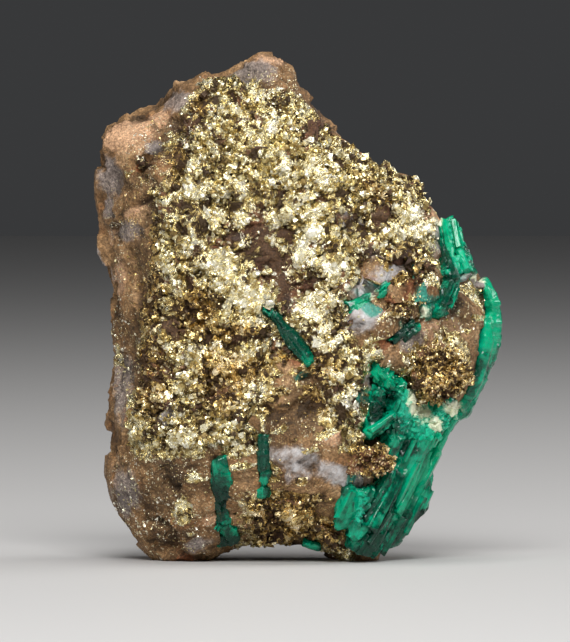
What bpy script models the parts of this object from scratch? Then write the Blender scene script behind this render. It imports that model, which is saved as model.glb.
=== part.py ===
"""Emerald specimen: green beryl columns and a granular pyrite crust on a brown, quartz-veined rock.

Every size below is in millimetres, and becomes metres where a mesh is made. X runs to the right,
Z runs up, and -Y is the face that carries the pyrite and most of the emeralds. The rock stands on
two small flats at z = 0.
"""
import math
import random

import bmesh
import bpy
from mathutils import Matrix, Vector, geometry, kdtree, noise

MM = 0.001                      # metres in a millimetre
SEED = 7

# Rock: half-depths from the seam that runs round its outline, and how boxy the profile is
ROCK_CENTRE_Z = 30.4
OUTLINE_POWER = 3.9             # above 2 the front stays full almost to the outline
DEPTH_POWER = 2.6
RIDGE_ROUNDING = 0.9            # radius-like blend between the broken planes
SOFTENING = 0.3                 # how far the outline's corners are worn round, 0 to 1
CHIP_COUNT = 130                # flat breaks over the whole surface
CHIP_TILT = 0.22                # how far a break leans from the surface, in radians
STEEPEST_CHIP = 0.35            # cosine of the most that a break may lean
CHIP_DEPTH = 1.25               # most that a break cuts or stands proud on the back
FRONT_CHIP_DEPTH = 0.5          # the same on the front
EDGE_SHARE = 0.35               # share of the breaks' depth that is left on the outline itself
CHIP_INSET = 0.30               # the breaks take a little off the whole surface
GRAIN = 0.30                    # fine roughness between the breaks
THINNING = 0.46                 # share of the rock's triangles that is kept

# Crust and seats
GAP = 0.38                      # clear space left between neighbours, measured square to the surface
CRUST_THICKNESS = 1.25
CRUST_EDGE = 0.60               # thickness where the crust thins out
CRUST_BED = 0.50                # depth of the bed in the rock at the crust's edge
CRUST_LIFT = 0.20               # how much lower than its bed's depth the crust's mean surface is
CRUST_FEATHER = 3.0             # width over which it thins
CRUST_LEAST = 0.45              # thickness in its deepest dips
EDGE_RELIEF = 0.35              # share of the relief that is left at the crust's edge
CRUST_LUMP = 0.80               # height of the crust's lumps
LEDGE_HEIGHT = 0.75             # the crust's upper right steps up in ledges that slant to the right
LEDGE_WIDTH = 4.2
LEDGE_SLANT = math.radians(27.0)
SEAT_OPENING = 8.0              # how far a seat's cutter reaches out of the rock

FRONT_REACH = 0.97              # crystals past this share of the outline sit as if at it

# Outline of the rock seen from the front, clockwise from the top: x, z
OUTLINE = [
    (-4.4, 60.8), (-2.0, 60.4), (-0.5, 58.1), (0.5, 56.5), (1.8, 55.1), (3.4, 52.4), (4.6, 51.1),
    (6.2, 49.9), (8.3, 48.2), (10.3, 46.9), (12.0, 46.9), (14.3, 45.2), (15.6, 42.7), (16.6, 41.3),
    (17.0, 39.5), (17.9, 37.1), (19.2, 35.0), (20.9, 34.9), (22.2, 33.6), (21.9, 31.1), (21.7, 28.1),
    (21.3, 25.1), (20.5, 23.0), (20.1, 20.3), (19.3, 18.7), (18.0, 17.3), (16.6, 15.3), (14.6, 12.2),
    (12.5, 8.6), (11.3, 5.3), (10.9, 2.3), (10.2, 0.0), (8.6, -1.9), (5.4, -1.9), (4.4, 0.5),
    (2.5, 1.6), (0.7, 1.9), (-0.6, 2.5), (-2.6, 1.6), (-5.2, 1.3), (-6.5, 1.5), (-8.5, 1.0),
    (-10.2, 0.6), (-11.4, -1.1), (-13.9, -2.0), (-16.4, -1.4), (-17.9, 0.7), (-19.6, 1.9), (-20.3, 3.4),
    (-20.8, 5.1), (-22.1, 6.1), (-22.9, 8.3), (-23.4, 10.7), (-22.8, 12.4), (-22.7, 15.5), (-22.3, 20.6),
    (-22.0, 22.3), (-22.0, 26.5), (-22.3, 28.6), (-21.7, 30.2), (-22.3, 32.1), (-23.0, 34.0), (-23.6, 37.1),
    (-24.0, 39.9), (-24.6, 41.6), (-24.5, 43.9), (-24.6, 46.5), (-24.0, 48.1), (-24.4, 50.6), (-23.8, 51.7),
    (-22.1, 52.5), (-19.4, 53.2), (-17.0, 54.0), (-15.8, 56.4), (-14.8, 57.3), (-11.3, 58.3), (-8.5, 58.7),
    (-7.4, 59.5),
]

# Broken planes of the two faces: depth at a point (x, z), and the slope of the depth along x and z
FRONT_PLANES = [
    (14.2, (0.0, 30.0), (0.02, -0.04)),      # main face, a little laid back
    (13.4, (-17.3, 33.0), (0.75, -0.07)),    # left side, falling away behind the crust's edge
    (13.0, (-13.0, 53.0), (0.35, -0.55)),    # upper left shoulder
    (12.6, (-4.0, 54.0), (0.05, -0.70)),     # dome at the top
    (13.4, (8.0, 46.0), (-0.32, -0.45)),     # upper right edge
    (12.8, (15.0, 30.0), (-0.50, 0.02)),     # right side
    (12.6, (8.5, 13.0), (-0.62, 0.26)),      # seat of the lower emeralds
    (12.8, (-4.0, 6.0), (0.02, 0.40)),       # underside
]
BACK_PLANES = [
    (12.6, (0.0, 30.0), (-0.05, 0.03)),      # main back face
    (11.8, (-14.0, 20.0), (0.55, 0.10)),     # lower left break
    (11.4, (10.0, 44.0), (-0.45, -0.40)),    # upper right break
    (11.0, (14.0, 20.0), (-0.60, 0.12)),     # lower right break
    (10.6, (-8.0, 52.0), (0.10, -0.60)),     # top
    (11.8, (0.0, 7.0), (0.00, 0.35)),        # underside
]

# Where the crusts lie on the front: x, z
MAIN_CRUST = [
    (-7.9, 57.8), (-4.3, 57.1), (-1.4, 55.9), (0.7, 53.9), (2.6, 51.8), (4.8, 50.0), (7.0, 48.5),
    (9.6, 47.1), (12.2, 46.3), (14.4, 44.6), (15.6, 42.5), (16.3, 40.5), (15.6, 37.6), (16.6, 35.0),
    (15.4, 32.6), (12.7, 34.0), (10.3, 35.7), (8.2, 35.7), (7.9, 33.1), (6.2, 32.1), (5.8, 29.7),
    (6.5, 27.5), (8.2, 25.1), (8.4, 22.5), (8.4, 19.4), (7.7, 15.5), (4.8, 14.8), (3.8, 17.7),
    (1.7, 19.9), (0.2, 22.5), (-1.7, 23.2), (-3.6, 22.5), (-4.3, 20.1), (-3.6, 17.7), (-5.5, 14.8),
    (-9.1, 13.4), (-13.0, 12.4), (-16.6, 12.2), (-19.7, 13.1), (-20.2, 16.3), (-19.2, 19.6), (-19.0, 25.1),
    (-18.0, 31.1), (-17.0, 35.7), (-16.2, 40.7), (-16.1, 45.5), (-15.4, 49.1), (-13.7, 52.3), (-12.2, 55.4),
    (-10.6, 57.3),
]
LOWER_CRUST = [
    (-6.4, 9.3), (-4.2, 7.9), (-2.2, 8.6), (1.0, 7.1), (2.9, 4.7), (5.6, 4.7), (7.2, 2.9),
    (6.2, -0.6), (4.6, -0.3), (2.4, 0.2), (0.7, 0.6), (-0.6, 0.8), (-3.4, 0.4), (-6.2, 0.4),
    (-6.5, 4.3), (-7.4, 7.1),
]

COLUMN_SIDES = 6
THINNEST_SIDE = 0.84            # a column's corners stand out unevenly, as shares of its half-width
WIDEST_SIDE = 1.06
END_SLANT = 0.25                # slant of a column's end, as a share of its half-width
CORNER_MARGIN = 1.25            # a seat clears a prism's corners by this much more than its flats

# Emerald columns. Each has a path of (x, z, how far its middle lies under the rock's surface),
# a half-width at each point of the path, and one half-depth
CLUSTER_COLUMNS = [
    # the curved rim, which stands edge-on along the right side
    ([(22.1, 33.4, 6.4), (23.2, 31.0, 6.4), (23.5, 28.4, 6.4), (23.1, 25.6, 6.4),
      (22.2, 23.2, 6.0), (21.1, 20.8, 5.6), (19.6, 18.2, 5.2), (17.9, 15.6, 4.8)],
     [0.7, 1.0, 1.15, 1.2, 1.15, 1.1, 1.2, 1.1], 2.2),
    ([(22.6, 30.6, 9.6), (22.8, 27.6, 9.8), (22.2, 24.2, 9.4), (20.6, 20.6, 8.6), (17.8, 15.8, 7.6)],
     [0.9, 1.3, 1.3, 1.4, 1.2], 1.9),
    ([(22.3, 29.2, 3.6), (22.4, 26.4, 3.5), (21.4, 22.8, 3.4), (19.4, 18.4, 3.4)],
     [0.7, 1.0, 1.1, 1.2], 1.5),
    # milky mass under the nodule
    ([(17.6, 19.4, 2.6), (14.4, 15.2, 2.4), (12.0, 11.4, 2.4)], [1.5, 2.5, 1.7], 2.9),
    ([(13.9, 20.6, 2.6), (11.4, 16.6, 2.2), (10.4, 12.8, 2.2)], [1.2, 1.9, 1.3], 2.4),
    ([(9.2, 23.4, 1.8), (13.0, 19.2, 2.6)], [0.8, 1.6], 1.9),
    ([(9.4, 20.9, 1.6), (8.3, 15.9, 1.6)], [0.8, 1.1], 1.6),
    # columns that run down to the left, outermost first
    ([(18.5, 17.9, 3.4), (15.8, 12.6, 3.4), (13.8, 8.4, 3.2)], [1.3, 1.35, 1.0], 2.2),
    ([(17.6, 17.3, 7.4), (15.0, 12.4, 7.2), (12.6, 7.4, 6.6)], [1.2, 1.5, 1.1], 2.0),
    ([(15.2, 9.6, 3.2), (14.2, 7.0, 3.0), (10.9, 2.5, 2.8)], [0.9, 1.7, 1.1], 2.2),
    ([(13.6, 8.2, 6.2), (12.2, 5.0, 6.0), (10.4, 2.0, 5.6)], [1.0, 1.4, 1.0], 1.8),
    ([(14.2, 13.6, 1.2), (12.0, 9.0, 0.9), (10.9, 5.2, 1.0)], [1.2, 1.55, 1.2], 2.4),
    ([(11.3, 11.0, 1.7), (8.6, 5.6, 1.4), (6.7, 1.7, 1.6)], [1.9, 2.1, 1.2], 2.3),
    ([(10.6, 6.6, 1.6), (8.6, 3.4, 1.4), (7.7, 1.4, 1.6)], [1.3, 1.7, 1.5], 2.3),
    ([(12.2, 8.0, 0.8), (9.4, 3.0, 0.6)], [0.8, 0.7], 1.2),
    # the body behind them
    ([(15.9, 17.2, 3.5), (12.7, 9.8, 3.1), (9.6, 2.6, 3.0)], [2.4, 2.6, 2.0], 2.4),
    ([(10.8, 21.8, 3.0), (12.0, 16.8, 3.2), (11.5, 11.4, 3.2)], [1.7, 3.1, 2.4], 2.1),
    # short crystal across the top
    ([(7.9, 15.4, 0.9), (11.5, 17.9, 0.5)], [1.0, 0.75], 1.2),
    # lens-shaped crystal and pale vein at the left
    ([(5.9, 9.4, 0.8), (5.6, 6.8, 0.6), (4.7, 4.6, 0.9)], [0.7, 1.45, 0.7], 1.2),
    ([(7.9, 8.9, 1.1), (7.1, 6.0, 0.9), (6.2, 3.2, 1.0)], [1.1, 1.1, 0.9], 1.3),
]
OUT_FRONT = (0.0, -1.0, 0.0)
OUT_RIGHT = (1.0, 0.0, 0.0)
# Runs of the columns above that share a seat, and the way in which the seat opens
CLUSTER_SEATS = [
    (0, 3, OUT_RIGHT), (3, 7, OUT_FRONT), (7, 9, OUT_RIGHT), (9, 11, OUT_RIGHT), (11, 15, OUT_FRONT),
    (15, 17, OUT_FRONT), (17, 18, OUT_FRONT), (18, 20, OUT_FRONT),
]
UPPER_COLUMNS = [
    ([(18.1, 40.7, 4.0), (18.7, 38.3, 3.6), (19.5, 36.0, 3.4), (20.2, 33.9, 3.2)],
     [0.7, 0.95, 1.25, 1.1], 2.0),
    ([(16.9, 40.5, 2.8), (17.3, 37.4, 2.4), (18.0, 33.2, 2.0)], [0.75, 0.95, 1.0], 1.9),
    ([(18.8, 35.4, 1.9), (17.6, 32.0, 1.6), (16.4, 29.4, 1.5)], [1.2, 1.3, 0.7], 1.7),
]
CENTRE_BLADE = [
    ([(-4.3, 30.5, 0.0), (-2.5, 29.0, 0.0), (-0.9, 26.6, -0.2), (1.3, 23.7, 0.0)],
     [0.45, 0.6, 1.15, 0.65], 0.9),
]
LEFT_EMERALD = [
    ([(-9.5, 12.7, 0.7), (-9.3, 10.2, 0.5), (-9.2, 7.4, 0.6)], [1.25, 1.6, 1.0], 1.2),
    ([(-9.4, 8.4, 0.7), (-9.1, 5.2, 0.6), (-8.4, 2.5, 0.7)], [0.85, 1.15, 1.6], 1.2),
]
SLIVER = [
    ([(-4.1, 15.6, 0.7), (-4.1, 12.0, 0.6), (-4.1, 8.5, 0.7)], [0.75, 0.9, 0.45], 0.9),
]
POCKET_EMERALDS = {
    "emerald_pocket_teal": [([(5.9, 30.6, 0.6), (8.9, 32.0, 0.6)], [0.95, 0.6], 1.0)],
    "emerald_pocket_green": [([(9.3, 32.2, 0.6), (10.7, 33.6, 0.6)], [0.75, 0.5], 0.9)],
    "emerald_pocket_light": [([(14.8, 31.0, 0.5), (15.1, 29.2, 0.5)], [0.6, 0.75], 0.8)],
    "emerald_pocket_lens": [([(10.8, 26.4, 0.6), (13.8, 28.6, 0.6)], [0.75, 0.65], 0.9)],
    "emerald_chip": [([(0.6, 2.4, 0.9), (2.6, 1.9, 0.9)], [0.55, 0.5], 0.8)],
}

SHARED_SEATS = {
    "emerald_cluster": CLUSTER_SEATS,
    "emerald_upper": [(0, 1, OUT_RIGHT), (1, 2, OUT_FRONT), (2, 3, OUT_FRONT)],
}

KNOBBLE = 0.22                  # unevenness of a lump, as a share of its size
FINE_LUMP = 2.5                 # lumps longer than this have a finer surface

# Granular lumps of pyrite: centre x, z, depth of the middle under the surface, and the half-sizes
PYRITE_LUMPS = {
    "pyrite_nodule": ((16.6, 22.6, 0.5), (3.7, 2.7, 3.7)),
    "pyrite_knob": ((8.3, 12.3, 0.5), (3.2, 1.7, 1.9)),
    "pyrite_left_cluster": ((-18.4, 47.6, 0.4), (1.4, 1.1, 1.7)),
    "pyrite_pocket_cluster": ((12.2, 30.3, 0.4), (2.0, 1.2, 1.1)),
}


def rock_radius(angle):
    """Distance from the rock's middle to its outline, in the direction of the angle."""
    corners = [(math.atan2(z - ROCK_CENTRE_Z, x), math.hypot(x, z - ROCK_CENTRE_Z)) for x, z in OUTLINE]
    corners.sort()
    first = corners[0]
    last = corners[-1]
    corners = [(last[0] - math.tau, last[1])] + corners + [(first[0] + math.tau, first[1])]
    for (a0, r0), (a1, r1) in zip(corners, corners[1:]):
        if a0 <= angle <= a1:
            return r0 + (r1 - r0) * (angle - a0) / (a1 - a0)
    return first[1]


def face_depth(planes, x, z):
    """Depth of a face where its broken planes meet in softly rounded ridges."""
    total = 0.0
    for depth, (x0, z0), (slope_x, slope_z) in planes:
        total += math.exp(-(depth + slope_x * (x - x0) + slope_z * (z - z0)) / RIDGE_ROUNDING)
    return -RIDGE_ROUNDING * math.log(total)


def seam_y(angle):
    """How far back the outline's seam lies: the left and top edges are behind, the foot in front."""
    return 1.0 - 3.0 * math.cos(angle) + 2.4 * math.sin(angle)


def rock_depth(planes, x, z, angle, reach, side):
    """Y of a face of the unbroken rock, at a share of the way from its middle to its outline."""
    bulge = max(0.0, 1.0 - reach ** OUTLINE_POWER) ** (1.0 / DEPTH_POWER)
    return seam_y(angle) * reach ** 2 + math.copysign(face_depth(planes, x, z) * bulge, side)


def front_point(x, z, under=0.0):
    """Point on the unbroken front face, or a distance under it."""
    angle = math.atan2(z - ROCK_CENTRE_Z, x)
    reach = min(math.hypot(x, z - ROCK_CENTRE_Z) / rock_radius(angle), FRONT_REACH)
    return Vector((x, rock_depth(FRONT_PLANES, x, z, angle, reach, -1.0) + under, z))


def rock_point(direction):
    """Point of the rock in a direction from its middle, before the surface is broken up."""
    angle = math.atan2(direction.z, direction.x)
    reach = min(1.0, math.hypot(direction.x, direction.z))
    x = rock_radius(angle) * reach * math.cos(angle)
    z = ROCK_CENTRE_Z + rock_radius(angle) * reach * math.sin(angle)
    planes = FRONT_PLANES if direction.y < 0.0 else BACK_PLANES
    return Vector((x, rock_depth(planes, x, z, angle, reach, direction.y), z))


def break_up(points, normals):
    """Cut flat breaks into the surface: each point moves onto the plane of its nearest chip."""
    picks = random.Random(SEED)
    chips = []
    for index in picks.sample(range(len(points)), CHIP_COUNT):
        lean = Vector((picks.gauss(0.0, 1.0), picks.gauss(0.0, 1.0), picks.gauss(0.0, 1.0)))
        chips.append((points[index], (normals[index] + lean * CHIP_TILT).normalized()))
    tree = kdtree.KDTree(CHIP_COUNT)
    for number, (centre, _) in enumerate(chips):
        tree.insert(centre, number)
    tree.balance()
    broken = []
    for point, normal in zip(points, normals):
        _, number, _ = tree.find(point)
        centre, plane = chips[number]
        facing = max(STEEPEST_CHIP, normal.dot(plane))
        move = (centre - point).dot(plane) / facing
        behind = min(1.0, max(0.0, 0.5 + 0.25 * point.y))    # 0 in front of the seam, 1 behind it
        most = FRONT_CHIP_DEPTH + (CHIP_DEPTH - FRONT_CHIP_DEPTH) * behind
        move = max(-most, min(most, move)) * min(1.0, EDGE_SHARE + 1.2 * abs(normal.y)) - CHIP_INSET
        move += GRAIN * noise.noise(point * 0.45) + 0.5 * GRAIN * noise.noise(point * 1.1)
        broken.append(point + normal * move)
    return broken


def rock_blank():
    """The rock as a ball of triangles: its faces, its broken surface and its smooth normals."""
    shape = bmesh.new()
    bmesh.ops.create_icosphere(shape, subdivisions=5, radius=1.0)
    for corner in shape.verts:
        corner.co = rock_point(corner.co.normalized())
    bmesh.ops.smooth_vert(shape, verts=shape.verts[:], factor=SOFTENING,
                          use_axis_x=True, use_axis_y=True, use_axis_z=True)
    shape.normal_update()
    normals = [corner.normal.copy() for corner in shape.verts]
    points = break_up([corner.co.copy() for corner in shape.verts], normals)
    faces = [tuple(corner.index for corner in face.verts) for face in shape.faces]
    shape.free()
    return points, normals, faces


def inside(outline, point):
    """Whether the point, seen from the front, lies within an outline."""
    corners = [Vector(corner) for corner in outline]
    crossings = 0
    for start, end in zip(corners, corners[1:] + corners[:1]):
        if (start.y > point.z) != (end.y > point.z):
            along = (point.z - start.y) / (end.y - start.y)
            if point.x < start.x + along * (end.x - start.x):
                crossings += 1
    return crossings % 2 == 1


def edge_distance(outline, point):
    """Distance, seen from the front, from the point to an outline's nearest side."""
    corners = [Vector(corner) for corner in outline]
    here = Vector((point.x, point.z))
    nearest = math.inf
    for start, end in zip(corners, corners[1:] + corners[:1]):
        foot, along = geometry.intersect_point_line(here, start, end)
        along = max(0.0, min(1.0, along))
        nearest = min(nearest, (here - (start + (end - start) * along)).length)
    return nearest


def connected(faces):
    """Groups of the numbers of faces that meet along edges, the largest group last."""
    by_edge = {}
    for number, corners in enumerate(faces):
        for pair in zip(corners, corners[1:] + corners[:1]):
            by_edge.setdefault(frozenset(pair), []).append(number)
    waiting = set(range(len(faces)))
    groups = []
    while waiting:
        group = [waiting.pop()]
        for number in group:
            corners = faces[number]
            for pair in zip(corners, corners[1:] + corners[:1]):
                for neighbour in by_edge[frozenset(pair)]:
                    if neighbour in waiting:
                        waiting.remove(neighbour)
                        group.append(neighbour)
        groups.append(group)
    return sorted(groups, key=len)


def without_pinches(patch):
    """The patch's largest part, without faces that hang on it by a single corner."""
    while True:
        patch = [patch[number] for number in connected(patch)[-1]]
        around = {}
        for face in patch:
            for i in face:
                around.setdefault(i, []).append(face)
        spare = []
        for fan in around.values():
            pieces = connected(fan)
            spare += [fan[number] for piece in pieces[:-1] for number in piece]
        if not spare:
            return patch
        patch = [face for face in patch if face not in spare]


def crust_patch(outline, lean, points, normals, faces):
    """Faces of the blank under a crust, and how deep into the crust each of their corners lies, 0 to 1."""
    patch = []
    for face in faces:
        if all(inside(outline, points[i]) and normals[i].y < lean for i in face):
            patch.append(face)
    patch = without_pinches(patch)
    depth = {}
    for face in patch:
        for i in face:
            near = min(1.0, edge_distance(outline, points[i]) / CRUST_FEATHER)
            depth[i] = near * near * (3.0 - 2.0 * near)
    return patch, depth


def finish(name, shape, material, collection):
    """Turn a bmesh in millimetres into a named object in metres."""
    bmesh.ops.scale(shape, vec=(MM, MM, MM), verts=shape.verts[:])
    mesh = bpy.data.meshes.new(name)
    shape.to_mesh(mesh)
    shape.free()
    mesh.materials.append(material)
    thing = bpy.data.objects.new(name, mesh)
    collection.objects.link(thing)
    return thing


def boolean(thing, tools, operation):
    """Join the tools to the thing or cut them from it, one after another, and remove them."""
    for tool in tools:
        modifier = thing.modifiers.new("shape", "BOOLEAN")
        modifier.operation = operation
        modifier.solver = "EXACT"
        modifier.object = tool
        bpy.context.view_layer.update()
        evaluated = thing.evaluated_get(bpy.context.evaluated_depsgraph_get())
        result = bpy.data.meshes.new_from_object(evaluated)
        thing.modifiers.clear()
        spent = thing.data
        thing.data = result
        bpy.data.meshes.remove(spent)
        bpy.data.objects.remove(tool)
    return thing


def keep_largest(thing):
    """Drop loose crumbs that a cut has left beside the main body."""
    shape = bmesh.new()
    shape.from_mesh(thing.data)
    bodies = connected([tuple(face.verts) for face in shape.faces])
    faces = shape.faces[:]
    crumbs = [faces[number] for body in bodies[:-1] for number in body]
    bmesh.ops.delete(shape, geom=crumbs, context="FACES")
    shape.to_mesh(thing.data)
    shape.free()


def grind_flat(shape, level):
    """Cut the shape off flat at a level above the ground."""
    cut = bmesh.ops.bisect_plane(shape, geom=shape.verts[:] + shape.edges[:] + shape.faces[:], dist=1e-6,
                                 plane_co=(0.0, 0.0, level), plane_no=(0.0, 0.0, -1.0), clear_outer=True)
    rim = [part for part in cut["geom_cut"] if isinstance(part, bmesh.types.BMEdge)]
    bmesh.ops.holes_fill(shape, edges=rim, sides=0)
    bmesh.ops.triangulate(shape, faces=[face for face in shape.faces if len(face.verts) > 3])


def rock_matrix(points, normals, faces, patches, material, collection):
    """The rock itself, hollowed a little where the crusts lie, and ground flat under its two feet."""
    sunk = {}
    for _, depth in patches:
        for i, near in depth.items():
            sunk[i] = bed_depth(near)
    shape = bmesh.new()
    corners = []
    for i, point in enumerate(points):
        corners.append(shape.verts.new(point - normals[i] * sunk.get(i, 0.0)))
    for face in faces:
        shape.faces.new([corners[i] for i in face])
    rock = finish("matrix", shape, material, collection)
    thin_out(rock, sunk)
    shape = bmesh.new()
    shape.from_mesh(rock.data)
    grind_flat(shape, 0.0)
    bmesh.ops.recalc_face_normals(shape, faces=shape.faces[:])
    shape.to_mesh(rock.data)
    shape.free()
    return rock


def thin_out(rock, kept):
    """Thin out the rock's triangles away from the crusts, where its breaks are flat."""
    group = rock.vertex_groups.new(name="bare_rock")
    bare = [corner.index for corner in rock.data.vertices if corner.index not in kept]
    group.add(bare, 1.0, "REPLACE")
    modifier = rock.modifiers.new("thin out", "DECIMATE")
    modifier.vertex_group = "bare_rock"
    modifier.ratio = THINNING
    bpy.context.view_layer.update()
    evaluated = rock.evaluated_get(bpy.context.evaluated_depsgraph_get())
    thinned = bpy.data.meshes.new_from_object(evaluated)
    rock.modifiers.clear()
    rock.vertex_groups.clear()
    rock.data = thinned


def bed_depth(near):
    """Depth of the bed that a crust lies in: near is 0 at the crust's edge and 1 well inside it."""
    return CRUST_BED + (CRUST_THICKNESS - CRUST_EDGE) * near


def crust_relief(point):
    """Height of the crust's lumps and ledges over its mean surface."""
    relief = CRUST_LUMP * (noise.noise(point * 0.27) + 0.7 * noise.noise(point * 0.6))
    across = point.z * math.cos(LEDGE_SLANT) - point.x * math.sin(LEDGE_SLANT)
    step = across / LEDGE_WIDTH + 1.1 * noise.noise(point * 0.12)
    share = min(1.0, max(0.0, (point.x + 4.0) / 8.0)) * min(1.0, max(0.0, (point.z - 26.0) / 8.0))
    return relief + LEDGE_HEIGHT * (0.35 + 0.65 * share) * (step - math.floor(step) - 0.5)


def grow_crust(name, points, normals, patch, depth, material, collection):
    """A crust: a closed skin that follows the rock, thin at its edge and lumpy on its outside."""
    shape = bmesh.new()
    corners = {}
    for i in sorted(depth):
        corners[i] = shape.verts.new(points[i] + normals[i] * (GAP - bed_depth(depth[i])))
    for face in patch:
        shape.faces.new([corners[i] for i in face])
    normal_at = {corners[i]: normals[i] for i in corners}
    depth_at = {corners[i]: depth[i] for i in corners}
    pairs = {}
    under = shape.verts[:]
    grown = bmesh.ops.extrude_face_region(shape, geom=shape.faces[:], use_keep_orig=True)
    outer = [part for part in grown["geom"] if isinstance(part, bmesh.types.BMVert)]
    tree = kdtree.KDTree(len(under))
    for number, corner in enumerate(under):
        tree.insert(corner.co, number)
    tree.balance()
    for corner in outer:
        pairs[corner] = under[tree.find(corner.co)[1]]
    for corner, below in pairs.items():
        near = depth_at[below]
        height = CRUST_EDGE + (CRUST_THICKNESS - GAP - CRUST_LIFT) * near
        height += crust_relief(corner.co) * (EDGE_RELIEF + (1.0 - EDGE_RELIEF) * near)
        corner.co += normal_at[below] * max(CRUST_LEAST, height)
    grind_flat(shape, GAP)
    bmesh.ops.recalc_face_normals(shape, faces=shape.faces[:])
    return finish(name, shape, material, collection)


def column(path, widths, half_depth, margin, random_sides):
    """One emerald column: an uneven prism bent along its path. The margin makes it a seat cutter."""
    sides = len(random_sides)
    shape = bmesh.new()
    bmesh.ops.create_cone(shape, cap_ends=True, segments=sides, radius1=1.0, radius2=1.0, depth=1.0)
    lengthwise = [edge for edge in shape.edges if abs(edge.verts[0].co.z - edge.verts[1].co.z) > 0.5]
    if len(path) > 2:
        bmesh.ops.subdivide_edges(shape, edges=lengthwise, cuts=len(path) - 2, use_grid_fill=True)
    spine = [front_point(x, z, under) for x, z, under in path]
    for corner in shape.verts:
        station = round((corner.co.z + 0.5) * (len(path) - 1))
        before = spine[max(0, station - 1)]
        after = spine[min(len(spine) - 1, station + 1)]
        along = (after - before).normalized()
        across = along.cross(Vector((0.0, 1.0, 0.0))).normalized()
        inward = across.cross(along).normalized()
        turn = math.atan2(corner.co.y, corner.co.x)
        uneven = random_sides[round(turn / math.tau * sides) % sides]
        half_width = widths[station] * uneven + margin * CORNER_MARGIN
        place = spine[station] + across * math.cos(turn) * half_width
        place += inward * math.sin(turn) * (half_depth * uneven + margin * CORNER_MARGIN)
        if station == 0:
            place -= along * (margin + END_SLANT * math.cos(turn) * widths[0])
        if station == len(path) - 1:
            place += along * (margin + END_SLANT * math.sin(turn) * widths[-1])
        corner.co = place
    bmesh.ops.triangulate(shape, faces=shape.faces[:])
    bmesh.ops.recalc_face_normals(shape, faces=shape.faces[:])
    return shape


def grow_emerald(name, columns, material, collection):
    """An emerald: its columns joined in one solid."""
    picks = random.Random(name)
    grown = []
    for path, widths, half_depth in columns:
        uneven = [picks.uniform(THINNEST_SIDE, WIDEST_SIDE) for _ in range(COLUMN_SIDES)]
        shape = column(path, widths, half_depth, 0.0, uneven)
        grown.append(finish(name, shape, material, collection))
    return boolean(grown[0], grown[1:], "UNION")


def seat_cutter(name, columns, opening, material, collection):
    """The cutter of a seat: the simplest solid that clears the columns all round and opens outwards."""
    seat = bmesh.new()
    for path, widths, half_depth in columns:
        shape = column(path, widths, half_depth, GAP, [WIDEST_SIDE] * COLUMN_SIDES)
        for corner in shape.verts:
            seat.verts.new(corner.co)
            seat.verts.new(corner.co + Vector(opening) * SEAT_OPENING)
        shape.free()
    hull = bmesh.ops.convex_hull(seat, input=seat.verts[:])
    unused = hull["geom_interior"] + hull["geom_unused"]
    spare = [part for part in unused if isinstance(part, bmesh.types.BMVert)]
    bmesh.ops.delete(seat, geom=list(set(spare)), context="VERTS")
    bmesh.ops.recalc_face_normals(seat, faces=seat.faces[:])
    return finish(name, seat, material, collection)


def grow_lump(name, place, half_sizes, margin, material, collection):
    """A rounded, knobbly lump of pyrite, or with a margin the cutter of its seat."""
    shape = bmesh.new()
    bmesh.ops.create_icosphere(shape, subdivisions=3 if max(half_sizes) > FINE_LUMP else 2, radius=1.0)
    middle = front_point(*place)
    for corner in shape.verts:
        knob = 1.0 + KNOBBLE * noise.noise(corner.co * 2.3 + middle)
        reach = [half * knob + margin for half in half_sizes]
        corner.co = middle + Vector([part * size for part, size in zip(corner.co, reach)])
    bmesh.ops.recalc_face_normals(shape, faces=shape.faces[:])
    return finish(name, shape, material, collection)


def stand_over_origin(things):
    """Shift everything sideways so that the origin lies on the ground under the middle of the box."""
    corners = [corner.co for thing in things for corner in thing.data.vertices]
    middle_x = 0.5 * (min(corner.x for corner in corners) + max(corner.x for corner in corners))
    middle_y = 0.5 * (min(corner.y for corner in corners) + max(corner.y for corner in corners))
    for thing in things:
        thing.data.transform(Matrix.Translation((-middle_x, -middle_y, 0.0)))


def surface_material(name, colour, roughness, metallic):
    """A plain Principled material."""
    material = bpy.data.materials.new(name)
    material.use_nodes = True
    shader = material.node_tree.nodes["Principled BSDF"]
    shader.inputs["Base Color"].default_value = (*colour, 1.0)
    shader.inputs["Roughness"].default_value = roughness
    shader.inputs["Metallic"].default_value = metallic
    material.diffuse_color = (*colour, 1.0)
    return material


for old in list(bpy.data.objects):
    bpy.data.objects.remove(old)

specimen = bpy.data.collections.new("emerald_specimen")
seats = bpy.data.collections.new("cutters")
bpy.context.scene.collection.children.link(specimen)
bpy.context.scene.collection.children.link(seats)

stone = surface_material("matrix_rock", (0.16, 0.10, 0.065), 0.75, 0.0)
gold = surface_material("pyrite", (0.62, 0.48, 0.22), 0.32, 1.0)
green = surface_material("emerald", (0.0, 0.30, 0.17), 0.18, 0.0)

blank = rock_blank()
main_patch, main_depth = crust_patch(MAIN_CRUST, 0.15, *blank)
lower_patch, lower_depth = crust_patch(LOWER_CRUST, -0.1, *blank)
matrix = rock_matrix(*blank, [(main_patch, main_depth), (lower_patch, lower_depth)], stone, specimen)
crust = grow_crust("pyrite_crust", blank[0], blank[1], main_patch, main_depth, gold, specimen)
lower = grow_crust("pyrite_lower_crust", blank[0], blank[1], lower_patch, lower_depth, gold, specimen)

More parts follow.
